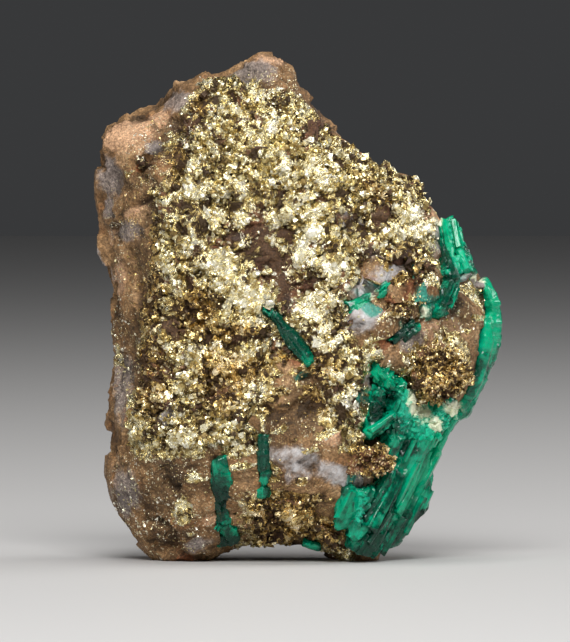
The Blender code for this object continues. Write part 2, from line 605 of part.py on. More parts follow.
emeralds = {
    "emerald_cluster": CLUSTER_COLUMNS,
    "emerald_upper": UPPER_COLUMNS,
    "emerald_centre_blade": CENTRE_BLADE,
    "emerald_left": LEFT_EMERALD,
    "emerald_sliver": SLIVER,
}
emeralds.update(POCKET_EMERALDS)
lumps = {}
for name, (place, half_sizes) in PYRITE_LUMPS.items():
    lumps[name] = grow_lump(name, place, half_sizes, 0.0, gold, specimen)
grown = {}
for name, columns in emeralds.items():
    grown[name] = grow_emerald(name, columns, green, specimen)
    alone = [(number, number + 1, OUT_FRONT) for number in range(len(columns))]
    for first, last, opening in SHARED_SEATS.get(name, alone):
        for carved in (matrix, crust, lower):
            boolean(carved, [seat_cutter("seat", columns[first:last], opening, green, seats)], "DIFFERENCE")
for place, half_sizes in PYRITE_LUMPS.values():
    for carved in (matrix, crust, lower, *grown.values()):
        boolean(carved, [grow_lump("seat", place, half_sizes, GAP, gold, seats)], "DIFFERENCE")
for carved in (matrix, crust, lower, *grown.values()):
    keep_largest(carved)
stand_over_origin(specimen.objects)
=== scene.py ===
"""Upright emerald specimen: green beryl and granular pyrite on a brown, quartz-veined rock.

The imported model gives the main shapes. This script gives each of them its broken, grown or
granular surface and its finish. Sizes are in millimetres unless a comment says otherwise,
with X to the right, Z up and the pyrite face towards -Y.
"""
import math
import random

import bmesh
import bpy
import numpy as np
from mathutils import Matrix, Vector


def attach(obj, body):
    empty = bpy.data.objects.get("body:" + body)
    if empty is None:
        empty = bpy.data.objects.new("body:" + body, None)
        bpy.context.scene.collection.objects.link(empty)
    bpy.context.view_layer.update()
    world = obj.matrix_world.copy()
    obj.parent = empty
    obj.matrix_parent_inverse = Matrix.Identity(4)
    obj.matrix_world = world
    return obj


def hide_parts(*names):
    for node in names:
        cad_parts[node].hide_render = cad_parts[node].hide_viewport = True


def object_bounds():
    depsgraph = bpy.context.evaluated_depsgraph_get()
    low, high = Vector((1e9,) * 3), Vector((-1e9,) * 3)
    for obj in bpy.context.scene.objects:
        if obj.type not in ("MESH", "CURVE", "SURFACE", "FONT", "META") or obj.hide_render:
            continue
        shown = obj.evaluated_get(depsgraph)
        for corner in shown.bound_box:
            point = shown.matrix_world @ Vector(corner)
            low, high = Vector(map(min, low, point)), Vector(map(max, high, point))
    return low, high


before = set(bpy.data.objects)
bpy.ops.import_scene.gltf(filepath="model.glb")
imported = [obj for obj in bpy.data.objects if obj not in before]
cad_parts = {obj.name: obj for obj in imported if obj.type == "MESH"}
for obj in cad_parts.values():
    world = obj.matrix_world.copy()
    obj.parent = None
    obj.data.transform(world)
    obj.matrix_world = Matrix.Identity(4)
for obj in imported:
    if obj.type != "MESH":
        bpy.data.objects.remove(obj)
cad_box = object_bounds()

MM = 0.001                      # metres in a millimetre
WELD = 1e-6                     # metres: points closer than this are one
FRONT_DEPTH = 2.0               # marks of the front reach back to this depth


# The rock is one broken piece of brown, iron-stained host rock. Pale quartz and purple-grey rock
# show through it in patches, and the hollows hold the pyrite crusts and the emeralds.

class Flow:
    """One output of a node tree. Arithmetic on it adds Math nodes; node() adds any other node."""

    def __init__(self, tree, socket=None):
        self.tree = tree
        self.socket = socket

    def node(self, kind, settings=None, inputs=None, output=0):
        """Add a node. Its settings come first, then its sockets take their values or links."""
        made = self.tree.nodes.new(kind)
        for name, value in (settings or {}).items():
            if name == "stops":
                made.color_ramp.elements.remove(made.color_ramp.elements[1])
                made.color_ramp.elements[0].position = value[0][0]
                made.color_ramp.elements[0].color = (*value[0][1], 1.0)
                for place, colour in value[1:]:
                    made.color_ramp.elements.new(place).color = (*colour, 1.0)
            else:
                setattr(made, name, value)
        for key, value in (inputs or {}).items():
            if isinstance(value, Flow):
                self.tree.links.new(value.socket, made.inputs[key])
            else:
                made.inputs[key].default_value = value
        return Flow(self.tree, made.outputs[output] if made.outputs else None)

    def output(self, name):
        """Another output of the node that this one comes from."""
        return Flow(self.tree, self.socket.node.outputs[name])

    def maths(self, operation, first, second):
        return self.node("ShaderNodeMath", {"operation": operation}, {0: first, 1: second})

    def most(self, other):
        """The greater of this value and the other."""
        return self.maths("MAXIMUM", self, other)

    def vector(self, operation, other, output=0):
        return self.node("ShaderNodeVectorMath", {"operation": operation}, {0: self, 1: other}, output)

    def scaled(self, factor):
        return self.node("ShaderNodeVectorMath", {"operation": "SCALE"}, {0: self, "Scale": factor})

    def part(self, axis=0):
        """One of the three numbers of a vector or a colour."""
        return self.node("ShaderNodeSeparateXYZ", {}, {0: self}, axis)

    def combined(self, parts):
        """A vector with the numbers on its axes."""
        return self.node("ShaderNodeCombineXYZ", {}, parts)

    def turned(self, angle):
        """This place, turned about the Y axis."""
        return self.node("ShaderNodeVectorRotate", {"rotation_type": "Y_AXIS"},
                         {"Vector": self, "Angle": angle})

    def step(self, low, high, start=0.0, end=1.0):
        """A soft step from start to end, as the value goes from low to high."""
        return self.node("ShaderNodeMapRange", {"interpolation_type": "SMOOTHSTEP"},
                         {0: self, 1: low, 2: high, 3: start, 4: end})

    def blend(self, first, second):
        """A colour between the two, with this value as the share of the second."""
        return self.node("ShaderNodeMix", {"data_type": "RGBA"}, {0: self, 6: first, 7: second}, 2)

    def ramp(self, *stops):
        """A colour that follows this value through the stops, each a value and a colour."""
        return self.node("ShaderNodeValToRGB", {"stops": stops}, {0: self})

    def bump(self):
        """The surface's direction where this is its height in millimetres."""
        return self.node("ShaderNodeBump", {}, {"Strength": 1.0, "Distance": MM, "Height": self})

    def stored(self, name, output="Fac"):
        """A value that the geometry carries under the name."""
        if self.tree.type == "SHADER":
            return self.node("ShaderNodeAttribute", {"attribute_name": name}, {}, output)
        return self.node("GeometryNodeInputNamedAttribute", {"data_type": "FLOAT"}, {"Name": name})

    def noise(self, size, detail=2.0, roughness=0.5, output=0):
        """Noise with lumps of about the size, in the units of this position."""
        return self.node("ShaderNodeTexNoise", {"noise_dimensions": "3D"},
                         {"Vector": self, "Scale": 1.0 / size, "Detail": detail,
                          "Roughness": roughness}, output)

    def cells(self, size, feature="F1", output=0):
        """Irregular cells of about the size, in the units of this position."""
        return self.node("ShaderNodeTexVoronoi", {"feature": feature},
                         {"Vector": self, "Scale": 1.0 / size}, output)

    def __add__(self, other):
        return self.maths("ADD", self, other)

    __radd__ = __add__

    def __sub__(self, other):
        return self.maths("SUBTRACT", self, other)

    def __rsub__(self, other):
        return self.maths("SUBTRACT", other, self)

    def __mul__(self, other):
        return self.maths("MULTIPLY", self, other)

    __rmul__ = __mul__


def geometry_tree(name, sizes, others=()):
    """A Geometry Nodes tree with a named input for each size and a finish: its inputs by name."""
    tree = bpy.data.node_groups.new(name, "GeometryNodeTree")
    tree.interface.new_socket("Geometry", in_out="OUTPUT", socket_type="NodeSocketGeometry")
    kinds = {"Geometry": "Geometry", **dict.fromkeys(sizes, "Float"), **dict(others), "Finish": "Material"}
    for label, kind in kinds.items():
        tree.interface.new_socket(label, in_out="INPUT", socket_type="NodeSocket" + kind)
    start = tree.nodes.new("NodeGroupInput")
    return tree, {socket.name: Flow(tree, socket) for socket in start.outputs if socket.name}


def close_tree(geometry, finish):
    """Give the geometry its material and send it out of the tree, which is returned."""
    dressed = geometry.node("GeometryNodeSetMaterial", {}, {"Geometry": geometry, "Material": finish})
    end = geometry.tree.nodes.new("NodeGroupOutput")
    geometry.tree.links.new(dressed.socket, end.inputs[0])
    return geometry.tree


def moved_by(geometry, offset):
    """The geometry with its points moved by the offset, in metres."""
    return geometry.node("GeometryNodeSetPosition", {}, {"Geometry": geometry, "Offset": offset})


def new_object(name, data):
    """An object at the scene's origin."""
    made = bpy.data.objects.new(name, data)
    bpy.context.collection.objects.link(made)
    return made


def evaluated_mesh(source, all_layers=False):
    """The object's mesh with its modifiers applied."""
    depsgraph = bpy.context.evaluated_depsgraph_get()
    return bpy.data.meshes.new_from_object(
        source.evaluated_get(depsgraph), preserve_all_data_layers=all_layers, depsgraph=depsgraph)


def run_tree(name, mesh, tree, values):
    """Run a Geometry Nodes tree on a mesh. The result is a plain object at the origin."""
    source = new_object(name, mesh)
    modifier = source.modifiers.new(tree.name, "NODES")
    modifier.node_group = tree
    for item in tree.interface.items_tree:
        if item.item_type == "SOCKET" and item.in_out == "INPUT" and item.name in values:
            modifier[item.identifier] = values[item.name]
    grown = evaluated_mesh(source, True)
    source.modifiers.clear()
    source.data = grown
    grown.name = name
    return source


def store(geometry, values, kind="FLOAT", domain="POINT"):
    """The geometry with named values on its points, or on its instances."""
    for name, value in values.items():
        geometry = geometry.node("GeometryNodeStoreNamedAttribute",
                                 {"data_type": kind, "domain": domain},
                                 {"Geometry": geometry, "Name": name, "Value": value})
    return geometry


def coordinates(mesh):
    """The places of a mesh's points in millimetres, one row each."""
    places = np.empty(len(mesh.vertices) * 3, np.float32)
    mesh.vertices.foreach_get("co", places)
    return places.reshape(-1, 3).astype(np.float64) / MM


def set_places(piece, places):
    """Move a piece's points to the places, in millimetres."""
    piece.data.vertices.foreach_set("co", (places * MM).astype(np.float32).ravel())
    piece.data.update()


def keep_in_box(piece):
    """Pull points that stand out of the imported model's box back onto it."""
    low, high = (np.array(corner) / MM for corner in cad_box)
    set_places(piece, np.clip(coordinates(piece.data), low, high))


def finished_mesh(name, shape):
    """A mesh of a shape in the making, which is used up."""
    mesh = bpy.data.meshes.new(name)
    shape.to_mesh(mesh)
    shape.free()
    return mesh


def packed_copy(name, nodes):
    """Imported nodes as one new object, with their loose triangles joined."""
    shape = bmesh.new()
    for node in nodes:
        shape.from_mesh(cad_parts[node].data)
    bmesh.ops.remove_doubles(shape, verts=shape.verts[:], dist=WELD)
    return new_object(name, finished_mesh(name, shape))


def remeshed(source, voxel, filled=0.0, worn=0):
    """The object's surface in even faces of one size. Gaps up to twice the filled width close.

    Worn is the number of times that the faces are evened out, which rounds the edges."""
    passes = [(voxel * COARSER, filled), (voxel * COARSER, -filled)] if filled else []
    for size, offset in passes + [(voxel, 0.0)]:
        even = source.modifiers.new("even", "REMESH")
        even.mode = "VOXEL"
        even.voxel_size = size * MM
        even.use_smooth_shade = True
        if offset:
            move = source.modifiers.new("move", "DISPLACE")
            move.mid_level = 0.0
            move.strength = offset * MM
    if worn:
        smooth = source.modifiers.new("wear", "SMOOTH")
        smooth.iterations = worn
    mesh = evaluated_mesh(source)
    bpy.data.objects.remove(source)
    return mesh


def carry(mesh, name, values):
    """Store a number for each of the mesh's points."""
    layer = mesh.attributes.new(name, "FLOAT", "POINT")
    layer.data.foreach_set("value", values.astype(np.float32))


def mark(mesh, name, patches, back=FRONT_DEPTH):
    """Store how far inside its nearest patch each front point lies: 1 in the middle, 0 at the edge.

    A patch is (x, z, half-width, half-height), with its slant in degrees where it has one."""
    places = coordinates(mesh)
    strength = np.full(len(places), -1.0)
    for x, z, half_width, half_height, *slant in patches:
        turn = math.radians(sum(slant))
        across = places[:, 0] - x
        up = places[:, 2] - z
        along = (across * math.cos(turn) + up * math.sin(turn)) / half_width
        beside = (up * math.cos(turn) - across * math.sin(turn)) / half_height
        strength = np.maximum(strength, 1.0 - np.hypot(along, beside))
    strength[places[:, 1] > back] = -1.0
    carry(mesh, name, strength)


COARSER = 1.4                   # voxels while gaps are being closed, against the last ones
ROCK_VOXEL = 0.33
ROCK_WEAR = 16
GRIT = 0.24                     # grains and specks of the stone
PIT_DEPTH = 1.0
RIDGE_HEIGHT = 0.55
TRIM_DEPTH = 0.8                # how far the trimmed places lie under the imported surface
REACH = 1.6                     # in the reaching places the rock closes on things this much further off
BACK_BEGINS = 0.5               # the marks of the back grow from this depth
BACK_FULL = 3.5                 # to this one
EMERALD_NODES = [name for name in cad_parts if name.startswith("emerald")]
PYRITE_NODES = [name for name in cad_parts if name.startswith("pyrite")]
STONE_PATCHES = {
    "quartz": [
        (0.2, 12.4, 2.2, 1.9), (4.4, 10.8, 3.0, 1.2, -25), (6.0, 40.6, 2.3, 0.8, -12),
        (8.0, 32.6, 2.0, 1.7, 30), (7.8, 29.0, 2.2, 1.3, 25), (14.3, 18.7, 1.1, 1.6, 20),
        (-15.4, 17.4, 0.8, 1.8, -25), (7.5, 22.6, 0.8, 1.3), (16.0, 38.8, 0.7, 1.8),
        (6.6, 9.6, 1.6, 1.6, -40), (10.4, 34.6, 1.6, 0.9, 20), (-1.6, 13.2, 1.0, 1.0),
        (21.0, 33.4, 1.4, 1.4)],
    "grey": [
        (-22.5, 46.0, 1.6, 3.0), (-22.8, 42.2, 0.7, 1.6), (-5.6, 58.6, 3.6, 1.6),
        (-14.2, 55.0, 2.4, 1.6, 10), (11.4, 35.2, 2.6, 2.0), (-7.2, 38.8, 1.3, 0.8),
        (-17.2, 49.8, 1.2, 0.8, 30), (-20.4, 39.4, 2.2, 1.6), (-21.0, 21.0, 1.4, 5.0),
        (-20.4, 8.6, 2.0, 3.4), (-12.0, 2.4, 1.5, 1.0, 20), (13.6, 26.6, 1.8, 2.0),
        (-1.2, 10.6, 0.5, 1.2), (-1.5, 31.0, 1.4, 1.6), (-16.6, 16.6, 0.5, 0.8, 30),
        (9.3, 36.6, 1.2, 1.4)],
    "peach": [
        (-20.4, 51.2, 4.6, 2.6, 15), (-16.6, 53.6, 3.0, 1.6, 40), (-23.2, 37.6, 1.3, 3.4, -10),
        (2.8, 54.0, 1.4, 3.4, -35), (7.6, 49.4, 3.2, 0.9, -38), (15.3, 41.4, 1.3, 1.1, -30),
        (19.4, 23.4, 1.0, 1.4), (18.6, 28.2, 0.7, 1.3, 20), (-3.4, 60.0, 2.4, 1.0),
        (-11.0, 5.2, 0.9, 0.7), (4.2, 14.9, 1.6, 1.0), (-14.4, 17.6, 0.7, 0.7), (0.0, 2.8, 1.4, 0.7),
        (-21.4, 33.6, 1.4, 3.0), (-18.6, 42.6, 2.8, 0.7, 38), (17.0, 36.0, 1.4, 1.0),
        (13.6, 36.4, 1.0, 0.8), (16.2, 27.6, 1.6, 1.2)],
    "rust": [
        (-10.5, 38.0, 1.8, 0.6, 10), (0.5, 32.9, 2.1, 1.2, 30), (11.4, 41.3, 1.6, 1.2),
        (12.4, 36.6, 1.0, 0.7, 20), (8.9, 34.2, 0.9, 0.7), (-18.0, 24.0, 1.8, 1.6, 25),
        (9.2, 26.0, 2.7, 1.2, 10), (-13.4, 0.4, 1.6, 0.7), (8.8, 12.4, 2.8, 1.6),
        (1.6, 51.2, 1.4, 1.0, -20), (-17.8, 29.0, 1.2, 2.5, -10), (-1.3, 28.2, 1.0, 0.8),
        (-19.2, 47.0, 1.8, 0.7, 35), (-16.6, 18.6, 1.0, 1.6, -35), (-14.0, 51.8, 1.6, 1.0),
        (-6.6, 52.3, 1.2, 0.5, 25), (6.0, 3.6, 1.2, 1.0), (-0.6, 23.6, 1.0, 0.6),
        (10.2, 30.0, 1.6, 0.5, 20), (-19.4, 17.6, 1.0, 3.0), (12.6, 39.0, 1.6, 1.4),
        (10.8, 35.6, 1.2, 0.8, 30), (15.4, 33.6, 1.8, 1.2, -20), (-4.6, 35.0, 2.0, 0.9, -20),
        (-5.6, 40.0, 1.6, 0.9, 10), (13.8, 32.8, 1.6, 1.0, 10), (11.0, 31.8, 1.2, 0.6),
        (16.8, 30.2, 1.2, 1.2)],
    # olive: a dark olive-brown stain; the patches laid on the pits darken them, which is painted shade in
    # the pits
    "olive": [
        (0.0, 17.4, 2.9, 2.7), (-17.6, 45.4, 1.1, 0.8), (-22.4, 40.2, 1.2, 0.9), (-13.8, 52.4, 1.6, 1.1),
        (-3.4, 3.3, 1.9, 1.0), (-18.2, 43.2, 2.6, 0.5, 30), (-16.0, 12.0, 4.0, 0.9),
        (17.6, 19.8, 1.6, 0.9, -20), (-21.4, 28.6, 0.9, 2.4), (18.8, 30.0, 2.6, 3.6),
        (-17.2, 43.6, 1.6, 3.4, -8), (-18.4, 36.6, 1.4, 3.4, 6), (-19.2, 26.6, 1.3, 3.4),
        (-15.0, 51.4, 2.2, 1.2, 35), (-18.4, 12.6, 3.0, 1.2, 20), (0.8, 18.8, 3.8, 3.4),
        (-15.6, 8.4, 3.0, 4.0), (15.0, 30.8, 2.4, 2.0)],
    "pit": [
        (-17.8, 45.4, 0.9, 0.7), (-13.8, 51.0, 0.9, 0.5, 15), (0.2, 22.2, 0.8, 0.45, -10),
        (-18.4, 43.0, 2.2, 0.45, 25), (-5.7, 17.2, 0.9, 0.5, 25), (-16.4, 49.6, 1.2, 0.5, 20),
        (-5.4, 48.6, 2.2, 0.35, -20), (-6.8, 42.5, 1.1, 0.35, 30), (-9.4, 47.7, 1.2, 0.3, -8),
        (-22.2, 41.0, 0.8, 0.6, 30), (-9.6, 21.4, 0.7, 0.3, 30)],
    "gold": [
        (-7.0, 11.6, 1.5, 0.6, 10), (-2.6, 10.9, 0.7, 1.9), (-12.6, 10.3, 1.2, 0.6),
        (-13.6, 6.4, 1.4, 2.0), (1.6, 13.7, 1.4, 0.5, 10), (0.4, 10.1, 0.9, 0.7),
        (3.4, 15.6, 1.6, 0.6, 20), (6.3, 13.7, 2.0, 0.7, -5), (1.0, 5.6, 1.6, 0.8), (2.0, 8.0, 1.6, 0.7),
        (-20.6, 46.3, 0.5, 0.4, 60), (8.8, 24.6, 0.9, 0.6, 15), (10.8, 23.7, 0.9, 0.6),
        (8.4, 30.8, 0.5, 0.4), (11.5, 29.9, 2.9, 0.6, 22), (11.4, 33.0, 1.3, 0.5, 15),
        (8.8, 34.1, 0.4, 0.3), (10.9, 36.9, 1.7, 0.8, 10), (15.0, 36.0, 1.9, 0.9), (21.3, 31.4, 0.6, 0.6),
        (21.4, 29.2, 1.1, 0.6), (20.0, 27.7, 1.0, 0.35), (8.7, 20.7, 0.8, 0.5, 20), (9.1, 17.1, 0.5, 0.5),
        (5.6, 15.7, 1.8, 0.5, -20), (9.3, 26.9, 1.7, 0.4), (-21.6, 24.5, 0.4, 1.8),
        (-10.6, 57.4, 0.9, 0.6), (-16.3, 22.5, 0.5, 0.5), (12.9, 24.6, 0.9, 0.6, 40),
        (-12.8, 3.6, 0.6, 0.4), (17.0, 33.9, 0.8, 0.3), (-20.4, 15.6, 0.6, 1.0), (-2.0, 20.6, 1.4, 0.8),
        (-1.9, 16.0, 1.0, 0.5, 20), (-5.2, 36.8, 1.1, 0.5, 20), (-2.8, 38.4, 0.9, 0.4, -10),
        (-3.6, 34.8, 0.8, 0.5), (-1.4, 34.4, 0.5, 0.8), (-6.4, 35.4, 0.7, 0.4),
        (13.6, 37.6, 1.4, 0.8, -20), (11.8, 33.6, 1.9, 0.9, 15), (13.4, 31.9, 1.3, 0.8),
        (15.6, 33.4, 1.2, 0.8, 20), (16.0, 29.4, 1.4, 0.7, 10), (10.2, 35.4, 1.0, 0.6),
        (13.0, 35.2, 0.9, 0.5)],
    "dusted": [
        (-15.0, 7.5, 9.0, 8.5), (-18.6, 30.0, 5.4, 17.0, 4), (2.0, 18.0, 6.0, 5.0),
        (12.0, 31.0, 6.0, 6.0), (-17.0, 49.0, 4.0, 5.0), (-3.0, 6.5, 7.0, 5.0), (18.0, 28.0, 4.0, 4.0),
        (-3.0, 57.0, 4.0, 2.0), (-3.6, 36.6, 6.0, 6.0), (8.5, 39.0, 7.0, 5.0), (-16.0, 20.0, 4.0, 5.0)],
    "ridge": [
        (-24.0, 51.0, 1.4, 2.2, 20), (-19.4, 43.9, 3.0, 0.8, 40), (-20.6, 40.6, 1.4, 3.4, -8),
        (-20.0, 51.0, 4.0, 1.2, 20), (18.7, 27.6, 0.8, 2.2, 15), (19.4, 23.4, 1.2, 1.6),
        (-20.6, 34.0, 1.2, 2.6, 10), (-17.4, 4.0, 3.0, 1.4, -30), (-11.0, 5.4, 1.0, 0.9),
        (4.0, 15.0, 1.8, 1.0)],
    "tarnished": [
        (-18.6, 36.0, 2.6, 14.0, 6), (-17.6, 22.0, 2.4, 6.0), (16.8, 22.4, 5.0, 5.0),
        (8.4, 12.4, 4.0, 2.6), (-6.0, 23.0, 5.0, 2.0, 10), (1.0, 24.0, 5.0, 2.4), (-3.4, 3.2, 3.0, 1.8),
        (4.4, 3.0, 3.4, 2.2), (11.4, 33.0, 4.0, 5.0), (9.4, 44.0, 3.0, 1.2, -35), (-11.5, 54.6, 1.6, 2.4),
        (-8.0, 27.6, 5.0, 1.2, 10), (0.0, 19.0, 4.4, 3.4), (-15.0, 47.0, 1.8, 3.4), (0.0, 6.0, 9.0, 6.5),
        (-12.0, 30.0, 3.0, 4.0), (-9.0, 22.0, 4.0, 5.0)],
    "teal": [
        (7.2, 31.2, 1.9, 1.5, 10), (10.4, 32.9, 1.4, 1.0, 20), (12.2, 27.5, 2.2, 1.2, 40),
        (15.0, 30.2, 1.0, 1.2), (13.5, 34.3, 0.7, 0.5), (17.4, 32.4, 1.4, 1.8), (0.0, 22.3, 0.8, 0.5),
        (7.2, 20.4, 0.6, 1.6), (6.2, 10.4, 1.0, 1.0), (19.6, 33.4, 1.4, 1.6), (18.6, 31.0, 1.2, 1.4),
        (16.4, 31.4, 1.6, 1.2), (9.6, 33.6, 1.2, 0.8, 20), (14.8, 32.0, 1.3, 0.8), (8.6, 30.0, 1.2, 0.7)],
    "bare": [
        (-4.4, 36.2, 3.0, 1.9, -10), (-1.4, 31.8, 1.6, 2.0), (-8.4, 40.4, 1.2, 0.7, 20),
        (-12.4, 33.4, 0.9, 0.9), (-4.8, 41.9, 1.3, 1.2), (6.0, 40.6, 2.3, 0.9, -12),
        (9.9, 41.4, 1.6, 1.0, 20), (0.5, 32.9, 2.2, 0.9, 30), (-16.3, 22.6, 2.6, 0.9, 25),
        (-15.8, 18.0, 0.9, 2.2, -30), (1.4, 51.1, 1.4, 1.0, -20), (15.3, 41.6, 1.0, 0.9),
        (-6.0, 27.0, 2.0, 0.5, 10), (3.0, 43.6, 1.2, 0.4, 10), (8.8, 36.4, 1.1, 1.2),
        (2.8, 38.0, 1.6, 0.4, 5), (-10.0, 20.2, 1.2, 0.5, 15), (-9.2, 50.2, 0.7, 0.9),
        (-6.6, 52.3, 1.1, 0.4, 25), (-1.8, 39.2, 1.7, 0.5, 5), (-7.2, 38.9, 1.3, 0.7),
        (-10.6, 37.9, 1.8, 0.5, 10), (-1.4, 23.4, 1.2, 0.7), (1.6, 21.8, 2.0, 0.8, -10),
        (4.4, 20.8, 1.2, 0.6), (-3.5, 3.3, 1.9, 1.0), (-12.0, 18.7, 1.2, 0.5, 10),
        (17.4, 20.0, 1.8, 1.0, -20), (9.2, 12.4, 1.8, 1.2), (5.6, 2.4, 1.0, 0.8), (-14.4, 28.0, 1.0, 1.4),
        (0.6, 44.6, 1.2, 0.4, 20), (-7.4, 55.0, 0.9, 0.5), (9.2, 35.6, 2.2, 2.4), (8.3, 30.6, 2.7, 4.4),
        (13.6, 31.6, 5.6, 5.4), (-4.6, 39.4, 2.6, 1.6, -20), (-2.2, 34.8, 2.8, 1.6, 10),
        (-1.0, 33.2, 2.4, 1.2, 25), (-13.2, 52.2, 1.8, 1.5), (-8.6, 38.4, 1.6, 0.8),
        (19.4, 31.0, 2.4, 3.4), (-18.9, 48.0, 3.6, 3.8), (-5.2, 17.0, 0.9, 0.6),
        (3.6, 12.4, 5.0, 3.0, -20), (-2.6, 26.0, 0.9, 1.2), (6.0, 33.0, 0.9, 0.7),
        (-16.6, 42.0, 0.8, 1.2)],
    "trimmed": [
        (8.6, 49.6, 7.0, 1.9, -37), (15.6, 44.6, 3.0, 1.9, -52), (1.8, 56.6, 5.2, 1.9, -62),
        (-16.6, 56.2, 2.6, 1.9, 45), (-13.4, 58.4, 2.8, 1.6, 12)],
    "reach": [
        (22.0, 31.0, 2.0, 3.4), (18.6, 33.0, 2.4, 2.0)],
}
THROUGH = {"trimmed": 20.0, "reach": 20.0}      # depths to which these marks reach back


def mosaic(place, size):
    """Irregular cells of about the size, with uneven edges."""
    warp = place.noise(size * 0.8, output=1).vector("SUBTRACT", (0.5, 0.5, 0.5)).scaled(size * 0.6)
    return place.vector("ADD", warp).cells(size)


def broken_faces(place, size, tilt, step=0.5):
    """Height of a surface that breaks in flat faces of about the size, each leaning its own way."""
    cell = mosaic(place, size)
    lean = cell.output("Color").vector("SUBTRACT", (0.5, 0.5, 0.5))
    away = place.vector("SUBTRACT", cell.output("Position"))
    return away.vector("DOT_PRODUCT", lean, "Value") * tilt + lean.part(1) * (size * tilt * step)


def nearest_of(place, objects):
    """The point of an object's surface nearest to each place, and how far it is, in metres."""
    target = place.node("GeometryNodeObjectInfo", {}, {"Object": objects}, "Geometry")
    return place.node("GeometryNodeProximity", {"target_element": "FACES"}, {0: target})


def rock_tree():
    """Relief of the broken rock. It closes on what is embedded in it, and pyrite seeds it nearby."""
    tree, given = geometry_tree("rock_relief", (
        "Chip tilt", "Lump height", "Grain height", "Most outward"),
        {"Embedded": "Object", "Pyrite": "Object"})
    spot = Flow(tree).node("GeometryNodeInputPosition")
    place = spot.scaled(1.0 / MM)
    normal = place.node("GeometryNodeInputNormal")
    embedded = nearest_of(place, given["Embedded"])
    gap = embedded.output("Distance") * (1.0 / MM) - place.stored("reach").step(0.0, 0.4) * REACH
    grip = gap.step(1.7, 0.95, 0.0, 1.12)
    closing = embedded.vector("SUBTRACT", spot).scaled(grip)
    calm = gap.step(0.5, 1.8, 0.15, 1.0)
    chips = broken_faces(place, 4.2, 1.0, 0.8) * given["Chip tilt"]
    small_chips = broken_faces(place, 1.5, 0.7, 0.8) * given["Chip tilt"]
    lumps = (place.noise(3.4, 3.0, 0.6) - 0.5) * given["Lump height"]
    grain = broken_faces(place, 0.7, 1.0, 0.8) * given["Grain height"]
    hollow = place.stored("pit").step(-0.4, 0.9) * -PIT_DEPTH
    ridge = place.stored("ridge").step(-0.3, 0.9) * RIDGE_HEIGHT
    trimmed = place.stored("trimmed").step(0.0, 0.4) * TRIM_DEPTH
    height = (chips + small_chips + lumps + grain + 0.05) * calm + hollow + ridge - trimmed
    height = place.maths("MINIMUM", height, given["Most outward"])
    moved = moved_by(given["Geometry"], normal.scaled(height * MM).vector("ADD", closing))
    beside_pyrite = nearest_of(place, given["Pyrite"]).output("Distance") * (1.0 / MM)
    fringe = (beside_pyrite.step(4.0, 0.2) + place.noise(1.0, 4.0, 0.7) * 1.2).step(0.95, 1.35)
    spots = (place.stored("gold") + (place.noise(0.7, 3.0, 0.65) - 0.5) * 1.3).step(-0.05, 0.35)
    bare = (place.stored("bare") + (place.noise(0.9, 3.0, 0.65) - 0.5) * 1.4).step(-0.1, 0.35)
    metal = (fringe * (1.0 - bare) * 0.85).most(spots)
    dust = place.stored("dusted").step(0.0, 0.5) * place.noise(1.8, 3.0, 0.65).step(0.40, 0.62) * 0.55
    moved = store(moved, {"height": height, "growth": metal.most(dust), "metal": metal * 0.8,
                          "plate_ground": 0.0})
    return close_tree(moved, given["Finish"])


def new_material(name):
    """A material with an empty tree: the material and the start of its tree."""
    material = bpy.data.materials.new(name)
    material.use_nodes = True
    material.node_tree.nodes.clear()
    return material, Flow(material.node_tree)


def striped(place, size, length, spread):
    """Fine parallel ridges. Each cell of the spread has them in a direction of its own."""
    turned = place.turned(place.cells(spread, output=1).part() * 6.0)
    return turned.vector("MULTIPLY", (1.0 / length, 1.0, 1.0)).noise(size, 2.0, 0.55)


def brass(start, shade, darkest, brown, gold):
    """Pyrite by its shade, from the darkest up: its colour, its share of stain and painted shade,
    and its share of painted highlight. The dark foot of the ramp holds stain and painted shade,
    and its cream and near-white top is painted highlight.
    """
    tarnish = start.stored("tarnished").step(-0.1, 0.6)
    shade = shade - tarnish * 0.12
    colour = shade.ramp((0.34, darkest), (0.43, brown), (0.53, gold), (0.70, (0.940, 0.870, 0.600)),
                        (0.92, (0.975, 0.935, 0.780)))
    colour = (tarnish * 0.5).blend(colour, colour.vector("MULTIPLY", (0.95, 0.72, 0.45)))
    return colour, shade.step(0.50, 0.38), shade.step(0.62, 0.90)


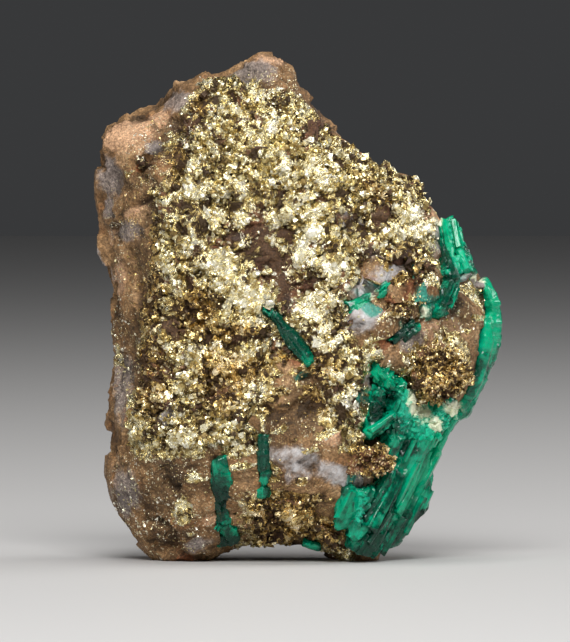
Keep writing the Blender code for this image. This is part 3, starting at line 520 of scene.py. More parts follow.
def stone_finish(name, brown):
    """Stained rock with quartz, rust and pyrite foil. The share of brown darkens what is under it.
    Low places are darkened as painted shade in the hollows and crevices, and the foil's plates and
    high relief are lightened as painted highlight.
    """
    material, start = new_material(name)
    place = start.node("ShaderNodeTexCoord", {}, {}, "Object").scaled(1.0 / MM)
    broad = place.noise(5.0, 4.0, 0.6)
    middle = place.noise(1.3, 5.0, 0.65)
    fine = place.noise(GRIT, 3.0, 0.65)
    ragged = (middle - 0.5) * 1.6
    height = start.stored("height")
    plate = start.stored("plate_ground")

    # Stone: tan and brown clouds, with the stored patches over them
    colour = (broad + (middle - 0.5) * 0.40).ramp(
        (0.32, (0.085, 0.044, 0.017)), (0.44, (0.190, 0.103, 0.042)), (0.55, (0.290, 0.165, 0.072)),
        (0.66, (0.420, 0.255, 0.128)))
    colour = (place.noise(3.1, 4.0, 0.6).step(0.54, 0.66) * 0.5).blend(
        colour, (0.330, 0.155, 0.060, 1.0))
    veins = place.noise(9.0, 5.0, 0.62).step(0.59, 0.66) * start.stored("behind")
    for label, strength, tone in (
            ("peach", 0.85, (0.560, 0.330, 0.190, 1.0)), ("grey", 0.80, (0.240, 0.205, 0.190, 1.0)),
            ("rust", 0.75, (0.260, 0.082, 0.030, 1.0)), ("olive", 0.80, (0.115, 0.064, 0.026, 1.0))):
        share = (start.stored(label) + ragged).step(-0.05, 0.5) * strength
        colour = share.blend(colour, tone)
    colour = start.node("ShaderNodeMix", {"data_type": "RGBA"}, {
        0: brown, 6: colour, 7: (0.205, 0.092, 0.045, 1.0)}, 2)
    strand = place.turned(math.radians(35.0)).vector("MULTIPLY", (0.35, 1.0, 1.0)).noise(0.5, 5.0, 0.7)
    milk = (strand * 0.6 + broad * 0.4 + (middle - 0.5) * 0.3).ramp(
        (0.32, (0.240, 0.180, 0.140)), (0.45, (0.370, 0.325, 0.300)), (0.62, (0.540, 0.540, 0.550)))
    quartz = (start.stored("quartz") + ragged).step(-0.25, 0.5).most(veins)
    colour = (quartz * 0.90).blend(colour, milk)
    beryl = (start.stored("teal") + ragged * 0.7).step(0.0, 0.5) * 0.85
    colour = beryl.blend(colour, (0.010, 0.290, 0.210, 1.0))
    dot = place.cells(GRIT)
    lucky = dot.output("Color").part()
    grit = fine.step(0.26, 0.74, 0.55, 1.45) * (0.72 + lucky * 0.56)
    grit = 1.0 + (grit - 1.0) * (1.0 - quartz * 0.7)
    # The stone is darkened in the low places of the relief, to 0.4 of its colour: painted shade in the
    # hollows.
    colour = colour.scaled(grit * height.step(-0.7, 0.1, 0.40, 1.05))

    # Pyrite: foil where there is metal, and specks in the dusted places
    shown = (start.stored("metal") + (middle - 0.5) * 1.2 + (fine - 0.5) * 0.9).step(0.40, 0.56)
    dusted = start.stored("dusted").step(-0.3, 0.4, 0.05, 1.0).most(min(brown * 1.6, 1.0))
    specks = dot.step(0.44, 0.28) * lucky.step(0.52, 0.56) * dusted
    specks = specks * place.noise(1.3, 3.0, 0.6).step(0.38, 0.58) * (1.0 - quartz)
    gold = shown.most(specks)
    # The foil's shade is raised on the plates and high relief and lowered in the crevices: painted
    # highlight and painted shade.
    shade = mosaic(place, 0.42).output("Color").part() * 0.38
    shade = shade + mosaic(place, 1.3).output("Color").part() * 0.20
    stripes = striped(place, 0.15, 5.0, 2.2)
    shade = shade + place.noise(2.6, 3.0, 0.6) * 0.42 + plate * 0.16 + height * 0.08 + 0.065
    shade = shade + height.step(-1.1, -0.5, -0.28, 0.0) + (stripes - 0.5) * (plate + 0.2)
    metal, stain_and_painted_shade, painted_highlight = brass(start, shade + specks * 0.10, (0.050, 0.028, 0.010),
                               (0.350, 0.240, 0.078), (0.760, 0.630, 0.290))
    colour = gold.blend(colour, metal)

    crinkle = broken_faces(place, 0.42, 0.8, 0.7) + fine * 0.05
    foil = crinkle * (1.15 - plate * 0.80) + stripes * (0.02 + plate * 0.09) + 0.08
    stone = (crinkle * 0.75 + (middle - 0.5) * 0.30) * (1.0 - quartz * 0.6)
    bump = (foil * shown + stone * (1.0 - shown) + fine * 0.09 + specks * 0.05).bump()
    roughness = gold.step(0.0, 1.0, 0.66, 0.26) + stain_and_painted_shade * gold * 0.25 - quartz * (1.0 - gold) * 0.32
    # Facets of painted highlight and of stain and painted shade carry less metal.
    shader = start.node("ShaderNodeBsdfPrincipled", {}, {
        "Base Color": colour, "Roughness": roughness,
        "Metallic": gold * (1.0 - stain_and_painted_shade * 0.6 - painted_highlight * 0.3),
        "Normal": bump, "IOR": 1.5, "Specular IOR Level": 0.35})
    start.node("ShaderNodeOutputMaterial", {}, {"Surface": shader})
    return material


def mark_stone(mesh):
    """Store the places of the minerals on a mesh that shows the rock."""
    for name, patches in STONE_PATCHES.items():
        mark(mesh, name, patches, THROUGH.get(name, FRONT_DEPTH))
    depth = coordinates(mesh)[:, 1]
    carry(mesh, "behind", np.clip((depth - BACK_BEGINS) / (BACK_FULL - BACK_BEGINS), 0.0, 1.0))


embedded_nodes = packed_copy("embedded", EMERALD_NODES + PYRITE_NODES)
pyrite_nodes = packed_copy("all_pyrite", PYRITE_NODES)
rock_material = stone_finish("matrix_rock", 0.0)
rock_mesh = remeshed(packed_copy("even_rock", ["matrix"]), ROCK_VOXEL, worn=ROCK_WEAR)
mark_stone(rock_mesh)
rock = run_tree("rock", rock_mesh, rock_tree(), {
    "Embedded": embedded_nodes, "Pyrite": pyrite_nodes,
    "Chip tilt": 0.34, "Lump height": 1.0, "Grain height": 0.30, "Most outward": 0.45,
    "Finish": rock_material})
bpy.data.objects.remove(embedded_nodes)
bpy.data.objects.remove(pyrite_nodes)
keep_in_box(rock)
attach(rock, "root")
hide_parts("matrix")


# The pyrite crusts are beds of brown, rusty rock overgrown with pyrite: raised shiny plates,
# slanting ledges at the upper right, and brown windows between them.

CRUST_VOXEL = 0.17
HIDDEN_SHARE = 0.10             # share of the triangles that the hidden back of a bed keeps
HIDDEN_LEAN = 0.25              # a surface that leans back by more than this is hidden
CRYSTAL_ROOM = 1.1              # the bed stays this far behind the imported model's front
ROOM_LEFT = 0.35                # height that is left of the parts that stand further forward
LEDGE_SLANT = math.radians(18.0)
PLATE_RISE = 0.35
METAL_RISE = 0.20
WINDOW_DEPTH = 0.35
CRACK_DEPTH = 0.95
CRUST_PIT_DEPTH = 1.3
PLATES = [
    (0.7, 37.0, 1.8, 1.8, 30), (3.5, 35.2, 1.7, 1.2), (2.0, 39.3, 1.0, 0.9), (1.7, 30.5, 2.6, 1.9, -20),
    (3.4, 27.0, 1.9, 1.6, 20), (13.4, 40.4, 2.6, 1.7, -35), (-9.6, 35.9, 2.9, 1.6, -5),
    (-6.5, 32.4, 3.8, 1.7, -22), (-12.8, 38.2, 0.8, 1.0), (1.5, 47.3, 1.5, 1.0, 30),
    (3.4, 45.7, 1.7, 1.1, -35), (-1.7, 46.9, 1.1, 1.1, 40), (-2.0, 41.2, 1.7, 0.8, 20),
    (1.6, 41.4, 1.2, 0.8), (-12.0, 44.5, 1.6, 1.2, 20), (-8.0, 24.2, 2.4, 1.4, 15),
    (-13.4, 15.2, 1.9, 0.9, 25), (-3.6, 52.0, 1.4, 1.6, 20), (-7.5, 44.5, 1.7, 1.1),
    (-9.8, 42.0, 1.6, 0.7), (-12.4, 13.6, 2.4, 0.5, 10), (-0.9, 5.4, 1.5, 1.2, -20),
    (-7.4, 6.6, 1.0, 1.4), (6.6, 19.0, 1.4, 1.4), (-5.6, 21.8, 1.6, 0.9), (4.6, 22.6, 1.4, 0.7, -20),
    (-16.2, 20.4, 1.4, 0.9, 20),
]
ARCH_ACROSS = [-9.0, -7.0, -4.6, -1.1, 0.8, 2.7, 6.2, 8.0]
ARCH_HEIGHTS = [0.0, 1.2, 2.1, 2.8, 3.0, 2.2, 1.2, 0.0]
ARCH_UNEVEN = 0.25              # how far the crust may hang below the arch
LEDGES = [(6.5, 43.4, 9.5, 6.4, -30), (-3.0, 49.0, 7.0, 5.0, -10)]


def crust_tree():
    """Relief of a crust: crumpled plates, ledges that slant up to the right, and sunken windows."""
    tree, given = geometry_tree("crust_relief", (
        "Swell", "Plate tilt", "Ledge height", "Grain height", "Metal share"), {"Rock": "Object"})
    spot = Flow(tree).node("GeometryNodeInputPosition")
    place = spot.scaled(1.0 / MM)
    normal = place.node("GeometryNodeInputNormal")
    ragged = (place.noise(1.0, 4.0, 0.75) - 0.5) * 2.4
    beside_rock = nearest_of(spot, given["Rock"]).output("Distance") * (1.0 / MM)
    rim = (beside_rock.step(1.3, 0.4) + ragged * 0.3).step(0.3, 0.8)
    bare = (place.stored("bare") + ragged).step(-0.15, 0.25)
    plate = (place.stored("plate") + ragged * 0.8).step(-0.05, 0.15)
    ledge = place.stored("ledge").step(0.0, 0.4)
    turned = place.turned(LEDGE_SLANT)
    strips = broken_faces(turned.vector("MULTIPLY", (0.28, 0.6, 1.0)), 0.9, 1.0, 1.1)
    streaks = strips * given["Ledge height"] * ledge
    plates = broken_faces(place, 3.2, 1.0, 0.8) * given["Plate tilt"]
    flakes = broken_faces(place, 1.4, 1.2, 1.0) * given["Plate tilt"]
    crumple = broken_faces(place, 0.55, 1.0, 0.9) * given["Grain height"]
    stripes = (striped(place, 0.42, 4.0, 3.0) - 0.5) * plate * 0.50
    facing = normal.part(1)
    height = plates + flakes * (1.0 - plate * 0.75) + crumple * (1.0 - plate * 0.8)
    height = height * facing.step(-0.2, -0.7, 0.45, 1.0)
    cracks = place.vector("ADD", place.noise(0.8, output=1)).cells(1.5, "DISTANCE_TO_EDGE")
    cracks = cracks.step(0.20, 0.02) * place.noise(2.4, 2.0).step(0.36, 0.50) * (1.0 - plate * 0.6)
    patches = place.noise(2.0, 4.0, 0.65).step(0.34, 0.42)
    metal = patches.most(plate) * (1.0 - bare) * (1.0 - rim * 0.8)
    spots = (place.stored("gold") + ragged * 0.25).step(-0.05, 0.35)
    metal = (metal * given["Metal share"]).most(spots)
    hollow = place.stored("pit").step(-0.1, 0.5) * -CRUST_PIT_DEPTH
    height = height + streaks + stripes + plate * PLATE_RISE + metal * METAL_RISE
    height = height - bare * WINDOW_DEPTH - cracks * CRACK_DEPTH + hollow + given["Swell"]
    height = height - place.stored("trimmed").step(0.0, 0.4) * TRIM_DEPTH
    moved = moved_by(given["Geometry"], normal.scaled(height * MM))
    growth = metal * (1.3 - plate * 1.1) + (1.0 - metal) * 0.65
    growth = growth * facing.step(0.0, -0.45) * place.stored("trimmed").step(0.5, 0.1)
    moved = store(moved, {"height": height, "growth": growth, "metal": metal,
                          "plate_ground": plate})
    return close_tree(moved, given["Finish"])


def ease_back(piece, room):
    """Press what stands too far forward back, so that the crystals on it stay in the model's box."""
    front = cad_box[0].y / MM + room
    places = coordinates(piece.data)
    ahead = np.maximum(front - places[:, 1], 0.0)
    places[:, 1] += ahead - ROOM_LEFT * np.tanh(ahead)
    set_places(piece, places)


def lift_arch(piece):
    """Keep the underside between the two feet clear, as an arch."""
    places = coordinates(piece.data)
    arch = np.interp(places[:, 0], ARCH_ACROSS, ARCH_HEIGHTS)
    places[:, 2] = np.maximum(places[:, 2], arch + ARCH_UNEVEN * np.tanh(places[:, 2] - arch))
    set_places(piece, places)


def thin_back(mesh):
    """Thin out the triangles that face the rock, where nobody sees them."""
    piece = new_object("thinned", mesh)
    facing = np.zeros(len(mesh.vertices) * 3, dtype=np.float32)
    mesh.vertex_normals.foreach_get("vector", facing)
    hidden = np.nonzero(facing[1::3] > HIDDEN_LEAN)[0].tolist()
    group = piece.vertex_groups.new(name="hidden")
    group.add(hidden, 1.0, "REPLACE")
    thinner = piece.modifiers.new("thin out", "DECIMATE")
    thinner.vertex_group = "hidden"
    thinner.ratio = 1.0 - (1.0 - HIDDEN_SHARE) * len(hidden) / len(mesh.vertices)
    bpy.context.view_layer.update()
    thinned = evaluated_mesh(piece)
    bpy.data.objects.remove(piece)
    return thinned


packed_rock = packed_copy("packed_rock", ["matrix"])
crust_relief = crust_tree()
crust_material = stone_finish("pyrite_crust", 0.6)


def crust_ground(name, node, values):
    """The bed of a crust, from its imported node."""
    mesh = thin_back(remeshed(packed_copy(name + "_even", [node]), CRUST_VOXEL))
    mark_stone(mesh)
    mark(mesh, "plate", PLATES)
    mark(mesh, "ledge", LEDGES)
    bed = run_tree(name, mesh, crust_relief, {
        "Rock": packed_rock, "Swell": -0.02, "Plate tilt": 0.60, "Ledge height": 0.0, "Grain height": 0.60,
        "Metal share": 1.0, "Finish": crust_material, **values})
    ease_back(bed, CRYSTAL_ROOM)
    lift_arch(bed)
    keep_in_box(bed)
    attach(bed, "root")
    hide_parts(node)
    return bed


main_bed = crust_ground("crust_bed", "pyrite_crust", {"Ledge height": 0.95, "Swell": -0.15})
lower_bed = crust_ground("lower_crust_bed", "pyrite_lower_crust", {
    "Metal share": 0.85, "Plate tilt": 0.35})
lump_beds = []
for lump, share, swell in (("nodule", 0.90, -0.05), ("knob", 0.80, -0.05),
                           ("left_cluster", 0.30, -0.55), ("pocket_cluster", 0.9, -0.15)):
    lump_beds.append(crust_ground(lump + "_core", "pyrite_" + lump, {
        "Swell": swell, "Metal share": share}))
bpy.data.objects.remove(packed_rock)


# Pyrite grew on the crusts as crowded small crystals, brassy where clean and brown where stained,
# with painted shade darkening them in the crevices.
# They lie flat on the plates, stand every way between them, and thin out over the rock.

CRYSTAL_KINDS = 12
SHAPE_SEED = 11
SHAPE_RADIUS = 0.60             # at the foot of a crystal shape
SHAPE_TOPS = (0.28, 0.55)       # its least and greatest radius at the top
SHAPE_STRETCH = (0.70, 1.25)
SHAPE_SLANT = 0.12              # how far its corners lie out of level
SPLIT = -4.0                    # the main bed's crystals are two pieces, left and right of this
ENDS = 100.0                    # further off than either end of the specimen


def crystal_shapes(name, sides, shortest, longest):
    """A few kinds of skewed crystal, each about 1 mm across, in a hidden collection."""
    shapes = bpy.data.collections.new(name)
    picks = random.Random(SHAPE_SEED)
    for number in range(CRYSTAL_KINDS):
        block = bmesh.new()
        bmesh.ops.create_cone(block, cap_ends=True, segments=picks.choice(sides),
                              radius1=SHAPE_RADIUS * MM, radius2=picks.uniform(*SHAPE_TOPS) * MM,
                              depth=picks.uniform(shortest, longest) * MM)
        for corner in block.verts:
            corner.co.x *= picks.uniform(*SHAPE_STRETCH)
            corner.co.y *= picks.uniform(*SHAPE_STRETCH)
            corner.co.z += picks.uniform(-SHAPE_SLANT, SHAPE_SLANT) * MM
        bmesh.ops.triangulate(block, faces=block.faces[:])
        bmesh.ops.recalc_face_normals(block, faces=block.faces[:])
        mesh = finished_mesh("%s_%d" % (name, number), block)
        shapes.objects.link(bpy.data.objects.new(mesh.name, mesh))
    return shapes


def pyrite_finish():
    """Bright brassy metal, crinkled as foil, and browned on the stained crystals. Its shade is
    raised as painted highlight on the plates and high relief, and lowered as painted shade in the
    crevices.
    """
    material, start = new_material("pyrite")
    place = start.node("ShaderNodeTexCoord", {}, {}, "Object").scaled(1.0 / MM)
    grain = place.noise(0.12, 2.0, 0.6)
    height = start.stored("height")
    plate = start.stored("plate_ground")
    stripes = striped(place, 0.15, 5.0, 2.2)
    # Plates and high relief get a lighter shade, crevices a darker one: painted highlight and painted
    # shade.
    shade = start.stored("tint") * 0.46 + mosaic(place, 1.3).output("Color").part() * 0.18
    shade = shade + place.noise(2.6, 3.0, 0.6) * 0.42 + plate * 0.12 + height * 0.06 + 0.065
    shade = shade + height.step(-1.1, -0.5, -0.24, 0.0) + (stripes - 0.5) * (plate + 0.2)
    shade = shade + start.stored("metal").step(0.0, 0.4, 0.16, 0.0)
    colour, stain_and_painted_shade, painted_highlight = brass(start, shade, (0.055, 0.031, 0.011), (0.370, 0.255, 0.083),
                                (0.765, 0.635, 0.290))
    bump = (broken_faces(place, 0.30, 0.6, 0.7) + grain * 0.03 + stripes * plate * 0.06).bump()
    # Facets of painted highlight and of stain and painted shade carry less metal.
    shader = start.node("ShaderNodeBsdfPrincipled", {}, {
        "Base Color": colour, "Roughness": grain.step(0.3, 0.7, 0.22, 0.34) + stain_and_painted_shade * 0.2,
        "Metallic": 1.0 - stain_and_painted_shade * 0.6 - painted_highlight * 0.3, "Normal": bump})
    start.node("ShaderNodeOutputMaterial", {}, {"Surface": shader})
    return material


def crystals_tree():
    """Scatter crystals over a ground, mostly upright on it, with some turned every way."""
    tree, given = geometry_tree("crystal_growth", (
        "Per square mm", "Least", "Most", "Lean", "Wild", "Sink", "Left", "Right"),
        {"Crystals": "Collection", "Seed": "Int"})
    place = Flow(tree).node("GeometryNodeInputPosition").scaled(1.0 / MM)

    def chance(seed, low, high):
        """A number between the two, its own for each crystal."""
        return place.node("FunctionNodeRandomValue", {"data_type": "FLOAT"},
                          {2: low, 3: high, "Seed": seed}, 1)

    plate = place.stored("plate_ground")
    side = place.part()
    keep = place.maths("GREATER_THAN", side, given["Left"]) * place.maths(
        "LESS_THAN", side, given["Right"])
    points = given["Geometry"].node("GeometryNodeDistributePointsOnFaces", {}, {
        "Mesh": given["Geometry"], "Seed": given["Seed"],
        "Density": place.stored("growth") * keep * given["Per square mm"] * MM ** -2})
    wild = chance(3, 0.0, 1.0).step(0.55, 0.98) * (1.0 - plate * 0.8) * given["Wild"]
    amount = given["Lean"] + wild
    turn = place.node("FunctionNodeEulerToRotation", {}, {0: place.combined({
        0: chance(5, -1.0, 1.0) * amount, 1: chance(6, -1.0, 1.0) * amount,
        2: chance(4, -math.pi, math.pi)})})
    turned = place.node("FunctionNodeRotateRotation", {"rotation_space": "LOCAL"},
                        {"Rotation": points.output("Rotation"), "Rotate By": turn})
    size = given["Least"] + (given["Most"] - given["Least"]) * place.maths(
        "POWER", chance(7, 0.0, 1.0), 2.0)
    size = size * (0.8 + place.stored("metal") * 0.2 + plate * 0.7)
    placed = points.node("GeometryNodeInstanceOnPoints", {}, {
        "Points": points,
        "Instance": points.node("GeometryNodeCollectionInfo", {}, {
            "Collection": given["Crystals"], "Separate Children": True, "Reset Children": True}),
        "Pick Instance": True, "Rotation": turned,
        "Scale": place.combined({
            0: size, 1: size * chance(9, 0.6, 1.15), 2: size * chance(10, 0.7, 1.2)})})
    sunk = placed.node("GeometryNodeTranslateInstances", {}, {
        "Instances": placed, "Local Space": True,
        "Translation": place.combined({2: given["Sink"] * -MM})})
    sunk = store(sunk, {"tint": chance(21, 0.0, 1.0)}, domain="INSTANCE")
    real = sunk.node("GeometryNodeRealizeInstances", {}, {"Geometry": sunk})
    return close_tree(real, given["Finish"])


crystal_growth = crystals_tree()
CROWDED = {
    "Crystals": crystal_shapes("pyrite_shapes", (4, 5), 0.20, 0.60), "Per square mm": 5.0,
    "Least": 0.22, "Most": 1.0, "Lean": 0.45, "Wild": 0.9, "Sink": 0.02, "Left": -ENDS,
    "Right": ENDS, "Finish": pyrite_finish()}


def grow_crystals(name, ground, values):
    """Small crystals on a ground, as one plain piece with sharp edges."""
    crystals = run_tree(name, ground.data, crystal_growth, {**CROWDED, **values})
    keep_in_box(crystals)
    crystals.data.shade_flat()
    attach(crystals, "root")
    return crystals


grow_crystals("pyrite_left", main_bed, {"Right": SPLIT, "Seed": 1})
grow_crystals("pyrite_right", main_bed, {"Left": SPLIT, "Seed": 2})
grow_crystals("pyrite_lower", lower_bed, {"Seed": 3})
grow_crystals("pyrite_grains", rock, {
    "Least": 0.14, "Most": 0.55, "Lean": 0.8, "Seed": 4})
for number, bed in enumerate(lump_beds):
    grow_crystals(bed.name.replace("_core", "_crystals"), bed, {
        "Per square mm": 14.0, "Least": 0.18, "Most": 0.50, "Lean": 0.8, "Seed": 10 + number})


# The emeralds are green beryl columns, finely ribbed along their growth and fused side by side.
# The mass at the lower right is milky at its top. The curved rim is a stack of thin leaves.

EMERALD_VOXEL = 0.15
SMALL_VOXEL = 0.11
BERYL_IOR = 1.58
BERYL_COLOUR = (0.0, 0.88, 0.68, 1.0)
BERYL_DENSITY = 1900.0          # strength of the absorption, for each metre of depth
# Marks of the emeralds: how far back each one reaches, and its patches
EMERALD_PATCHES = {
    "milky": (2.0, [
        (15.4, 16.8, 3.8, 2.2, 15), (12.8, 19.0, 1.2, 2.8), (17.6, 17.4, 1.8, 1.4),
        (7.3, 6.4, 0.6, 2.6, -8), (18.0, 39.4, 0.9, 1.6, 10), (14.8, 30.2, 0.9, 0.9)]),
    "cream": (2.0, [
        (14.1, 19.0, 1.3, 2.4, 20), (16.4, 16.5, 0.8, 1.1), (18.4, 18.4, 1.4, 0.9),
        (21.4, 33.3, 1.2, 1.2), (14.8, 30.0, 0.9, 0.9), (15.0, 17.8, 1.2, 0.8), (9.1, 31.7, 0.7, 1.0, 20),
        (16.9, 40.6, 0.5, 0.7)]),
    # painted light: lighter green where the beryl is lit, along the rim and on lit faces, with small
    # painted highlights
    "bright": (8.0, [
        (23.2, 29.0, 1.4, 5.6, -4), (14.2, 9.6, 5.2, 1.4, 60), (16.6, 14.2, 1.6, 2.0),
        (8.2, 15.9, 0.9, 0.9), (9.6, 22.0, 2.4, 1.0), (18.2, 38.8, 1.7, 3.6, 12), (22.9, 32.6, 0.7, 1.6),
        (7.4, 31.0, 1.4, 0.9), (9.6, 3.0, 0.3, 1.6, -35), (8.6, 1.0, 0.3, 0.6, -30), (5.8, 6.8, 0.8, 1.0),
        (9.0, 22.4, 1.6, 1.2), (12.8, 21.0, 1.4, 1.2)]),
    # deep green and painted shade: near-black green, partly the darker stones, partly painted shade in the
    # hollow of the mass and between its columns
    "deep": (0.0, [
        (13.2, 13.6, 1.7, 1.3), (9.9, 7.4, 4.2, 1.9, 57), (9.4, 2.2, 3.6, 2.2, 30),
        (9.3, 18.3, 2.4, 0.9, 70), (14.0, 4.9, 2.2, 0.9, 50), (21.2, 22.4, 2.2, 0.7, 62),
        (18.4, 34.0, 1.4, 0.8), (17.6, 31.8, 1.2, 1.5), (-1.4, 27.2, 4.4, 2.6, -48),
        (-9.3, 7.6, 1.8, 4.4), (-8.0, 2.4, 2.2, 1.6), (-4.1, 13.4, 1.6, 3.6), (12.2, 27.2, 2.4, 1.2, 40),
        (17.6, 36.6, 0.7, 2.0, 10), (10.6, 20.0, 1.2, 0.8)]),
    "rim": (8.0, [
        (22.8, 30.8, 2.2, 4.2, -4), (22.9, 26.4, 2.4, 3.6, -8), (21.4, 22.0, 2.0, 3.2, -25)]),
    "lobe": (2.0, [(10.2, 21.8, 2.8, 1.6), (9.6, 18.6, 1.3, 2.4, -15), (11.6, 16.2, 1.8, 1.4, 30)]),
    "trimmed": (20.0, [(17.9, 13.8, 4.6, 2.0, 64)]),
}
RIM_CENTRE = (9.0, 0.0, 29.5)
RIM_RADIUS = 14.0
LEAF_HEIGHT = 0.32
RIM_SWELL = 0.12
EMERALD_TRIM = 0.7


def emerald_tree():
    """Relief of grown beryl: flat-sided ribs along the growth, steps across it, leaves in the rim."""
    tree, given = geometry_tree("emerald_relief", (
        "Swell", "Slant", "Rib width", "Rib height", "Step height", "Back wave"))
    place = Flow(tree).node("GeometryNodeInputPosition").scaled(1.0 / MM)
    normal = place.node("GeometryNodeInputNormal")
    straight = place.turned(given["Slant"])
    scaled = straight.vector("MULTIPLY", (1.0, 1.0, 0.10)).scaled(given["Rib width"])
    columns = broken_faces(scaled, 1.6, 1.0, 0.9)
    ribs = straight.vector("MULTIPLY", (1.0, 1.0, 0.05)).noise(0.45, 3.0, 0.6)
    steps = broken_faces(straight.vector("MULTIPLY", (0.5, 0.5, 1.0)), 1.1, 1.0, 0.9)
    height = columns * given["Rib height"] + (ribs - 0.5) * given["Rib height"] * 0.10
    height = height + steps * given["Step height"]
    around = place.vector("SUBTRACT", RIM_CENTRE)
    depth = around.part(1)
    along = place.maths("ARCTAN2", around.part(2), around.part()) * RIM_RADIUS
    stack = place.combined({0: along, 1: depth * 0.15, 2: 0.0})
    leaves = broken_faces(stack, 1.1, 0.5, 0.9) + broken_faces(stack, 0.35, 0.4, 0.9)
    rim = place.stored("rim").step(0.0, 0.25)
    height = height * (1.0 - rim) + (leaves * LEAF_HEIGHT + RIM_SWELL) * rim + given["Swell"]
    height = height - place.stored("trimmed").step(0.0, 0.4) * EMERALD_TRIM
    sway = (stack.noise(2.6, 2.0) - 0.5) * depth.step(-4.0, 3.0) * given["Back wave"]
    moved = moved_by(given["Geometry"], normal.scaled(height * MM).vector(
        "ADD", place.combined({1: sway * MM})))
    ragged = place.noise(1.2, 3.0, 0.6) - 0.5
    milky = (place.stored("milky") + ragged * 1.2).step(-0.1, 0.2)
    lobe = (place.stored("lobe") + ragged).step(0.0, 0.2)
    growth = milky.most(lobe) * normal.part(1).step(0.2, -0.2)
    moved = store(moved, {"height": height, "growth": growth, "plate_ground": 0.0})
    lain = place.node("ShaderNodeMix", {"data_type": "VECTOR"}, {
        0: rim, 4: straight, 5: place.combined({0: along, 1: depth, 2: around.part()})}, 1)
    moved = store(moved, {"grown": lain}, "FLOAT_VECTOR")
    return close_tree(moved, given["Finish"])


def emerald_finish():
    """Translucent green beryl, streaked along its growth, milky and cream where it is clouded.
    Lit patches of painted light lie over it, and near-black ones that are partly darker beryl and
    partly painted shade.
    """
    material, start = new_material("emerald")
    place = start.node("ShaderNodeTexCoord", {}, {}, "Object").scaled(1.0 / MM)
    grown = start.stored("grown", "Vector")
    ribs = grown.vector("MULTIPLY", (1.0, 1.0, 0.05)).noise(0.40, 3.0, 0.6)
    column = mosaic(grown.vector("MULTIPLY", (1.0, 1.0, 0.09)), 1.3).output("Color").part()
    cloud = place.noise(2.2, 3.0, 0.55)
    fine = place.noise(0.14, 2.0, 0.6)
    ragged = (place.noise(0.8, 4.0, 0.65) - 0.5) * 1.3
    value = cloud + (ribs - 0.5) * 0.22 + (column - 0.5) * 0.24 + start.stored("tone") * 0.22
    body = value.ramp(
        (0.28, (0.000, 0.075, 0.042)), (0.42, (0.000, 0.205, 0.110)), (0.55, (0.000, 0.460, 0.240)),
        (0.72, (0.000, 0.660, 0.370)))
    share = {}
    # The lit green patches are painted light; the near-black ones are partly painted shade.
    for label, strength, tone in (
            ("bright", 0.80, (0.000, 0.650, 0.320, 1.0)), ("milky", 0.80, (0.030, 0.800, 0.500, 1.0)),
            ("deep", 0.90, (0.000, 0.040, 0.022, 1.0)), ("cream", 0.95, (0.900, 0.890, 0.660, 1.0))):
        share[label] = (start.stored(label) + ragged).step(-0.05, 0.45) * strength
        body = share[label].blend(body, tone)
    body = body.scaled(ribs.step(0.3, 0.7, 0.88, 1.1) * fine.step(0.3, 0.7, 0.9, 1.1))
    bump = (ribs * 0.035 + fine * 0.006 + broken_faces(place, 0.6, 0.22, 0.5)).bump()
    shader = start.node("ShaderNodeBsdfPrincipled", {}, {
        "Base Color": body, "Roughness": ribs.step(0.3, 0.7, 0.20, 0.10) + share["milky"] * 0.16,
        "Normal": bump, "IOR": BERYL_IOR, "Specular IOR Level": 0.16, "Transmission Weight": 0.45})
    clouded = start.node("ShaderNodeBsdfPrincipled", {}, {
        "Base Color": body, "Roughness": 0.45, "Normal": bump, "Specular IOR Level": 0.25})
    shader = start.node("ShaderNodeMixShader", {}, {0: share["cream"], 1: shader, 2: clouded})
    depth = start.node("ShaderNodeVolumeAbsorption", {}, {"Color": BERYL_COLOUR, "Density": BERYL_DENSITY})
    start.node("ShaderNodeOutputMaterial", {}, {"Surface": shader, "Volume": depth})
    return material


emerald_material = emerald_finish()
emerald_relief = emerald_tree()


def mark_emerald(mesh):
    """Store an emerald's milky and cream places, its painted light, its darker green with painted
    shade, where its rim is, and what is grainy.
    """
    for name, (back, patches) in EMERALD_PATCHES.items():
        mark(mesh, name, patches, back)


def grow_emerald(name, nodes, slant, values, filled=0.0, sunk=0.0, voxel=SMALL_VOXEL):
    """An emerald ribbed along a line that leans by the slant, in degrees, and sunk into the rock."""
    mesh = remeshed(packed_copy("even_" + name, nodes), voxel, filled)
    mesh.transform(Matrix.Translation((0.0, sunk * MM, 0.0)))
    mark_emerald(mesh)
    crystal = run_tree(name, mesh, emerald_relief, {
        "Swell": 0.06, "Rib width": 1.0, "Rib height": 0.40, "Step height": 0.14,
        "Finish": emerald_material, **values, "Slant": math.radians(slant)})
    keep_in_box(crystal)
    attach(crystal, "root")
    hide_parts(*nodes)
    return crystal


emerald_mass = grow_emerald("emerald_mass", ["emerald_cluster"], -27.0, {"Back wave": 5.0},
                            filled=0.35, voxel=EMERALD_VOXEL)
grow_emerald("upper_emerald", ["emerald_upper"], 100.0,
             {"Step height": 0.20, "Rib width": 2.2, "Rib height": 0.30},
             filled=0.3, sunk=0.4, voxel=0.12)
grow_emerald("centre_blade", ["emerald_centre_blade"], 40.0,
             {"Rib width": 1.8, "Rib height": 0.45}, sunk=0.35)
grow_emerald("left_emerald", ["emerald_left"], 2.0,
             {"Rib width": 1.2, "Step height": 0.2}, sunk=0.3)
grow_emerald("emerald_slip", ["emerald_sliver"], 0.0,
             {"Rib width": 1.6, "Rib height": 0.45, "Step height": 0.2})
for stone, slant in (("teal", -65.0), ("green", -45.0), ("light", 10.0), ("lens", -55.0)):
    grow_emerald("pocket_" + stone, ["emerald_pocket_" + stone], slant,
                 {"Rib width": 1.6, "Rib height": 0.6, "Step height": 0.25, "Swell": 0.10}, sunk=0.40)
grow_emerald("foot_chip", ["emerald_chip"], 75.0, {"Rib width": 2.0, "Rib height": 0.3})


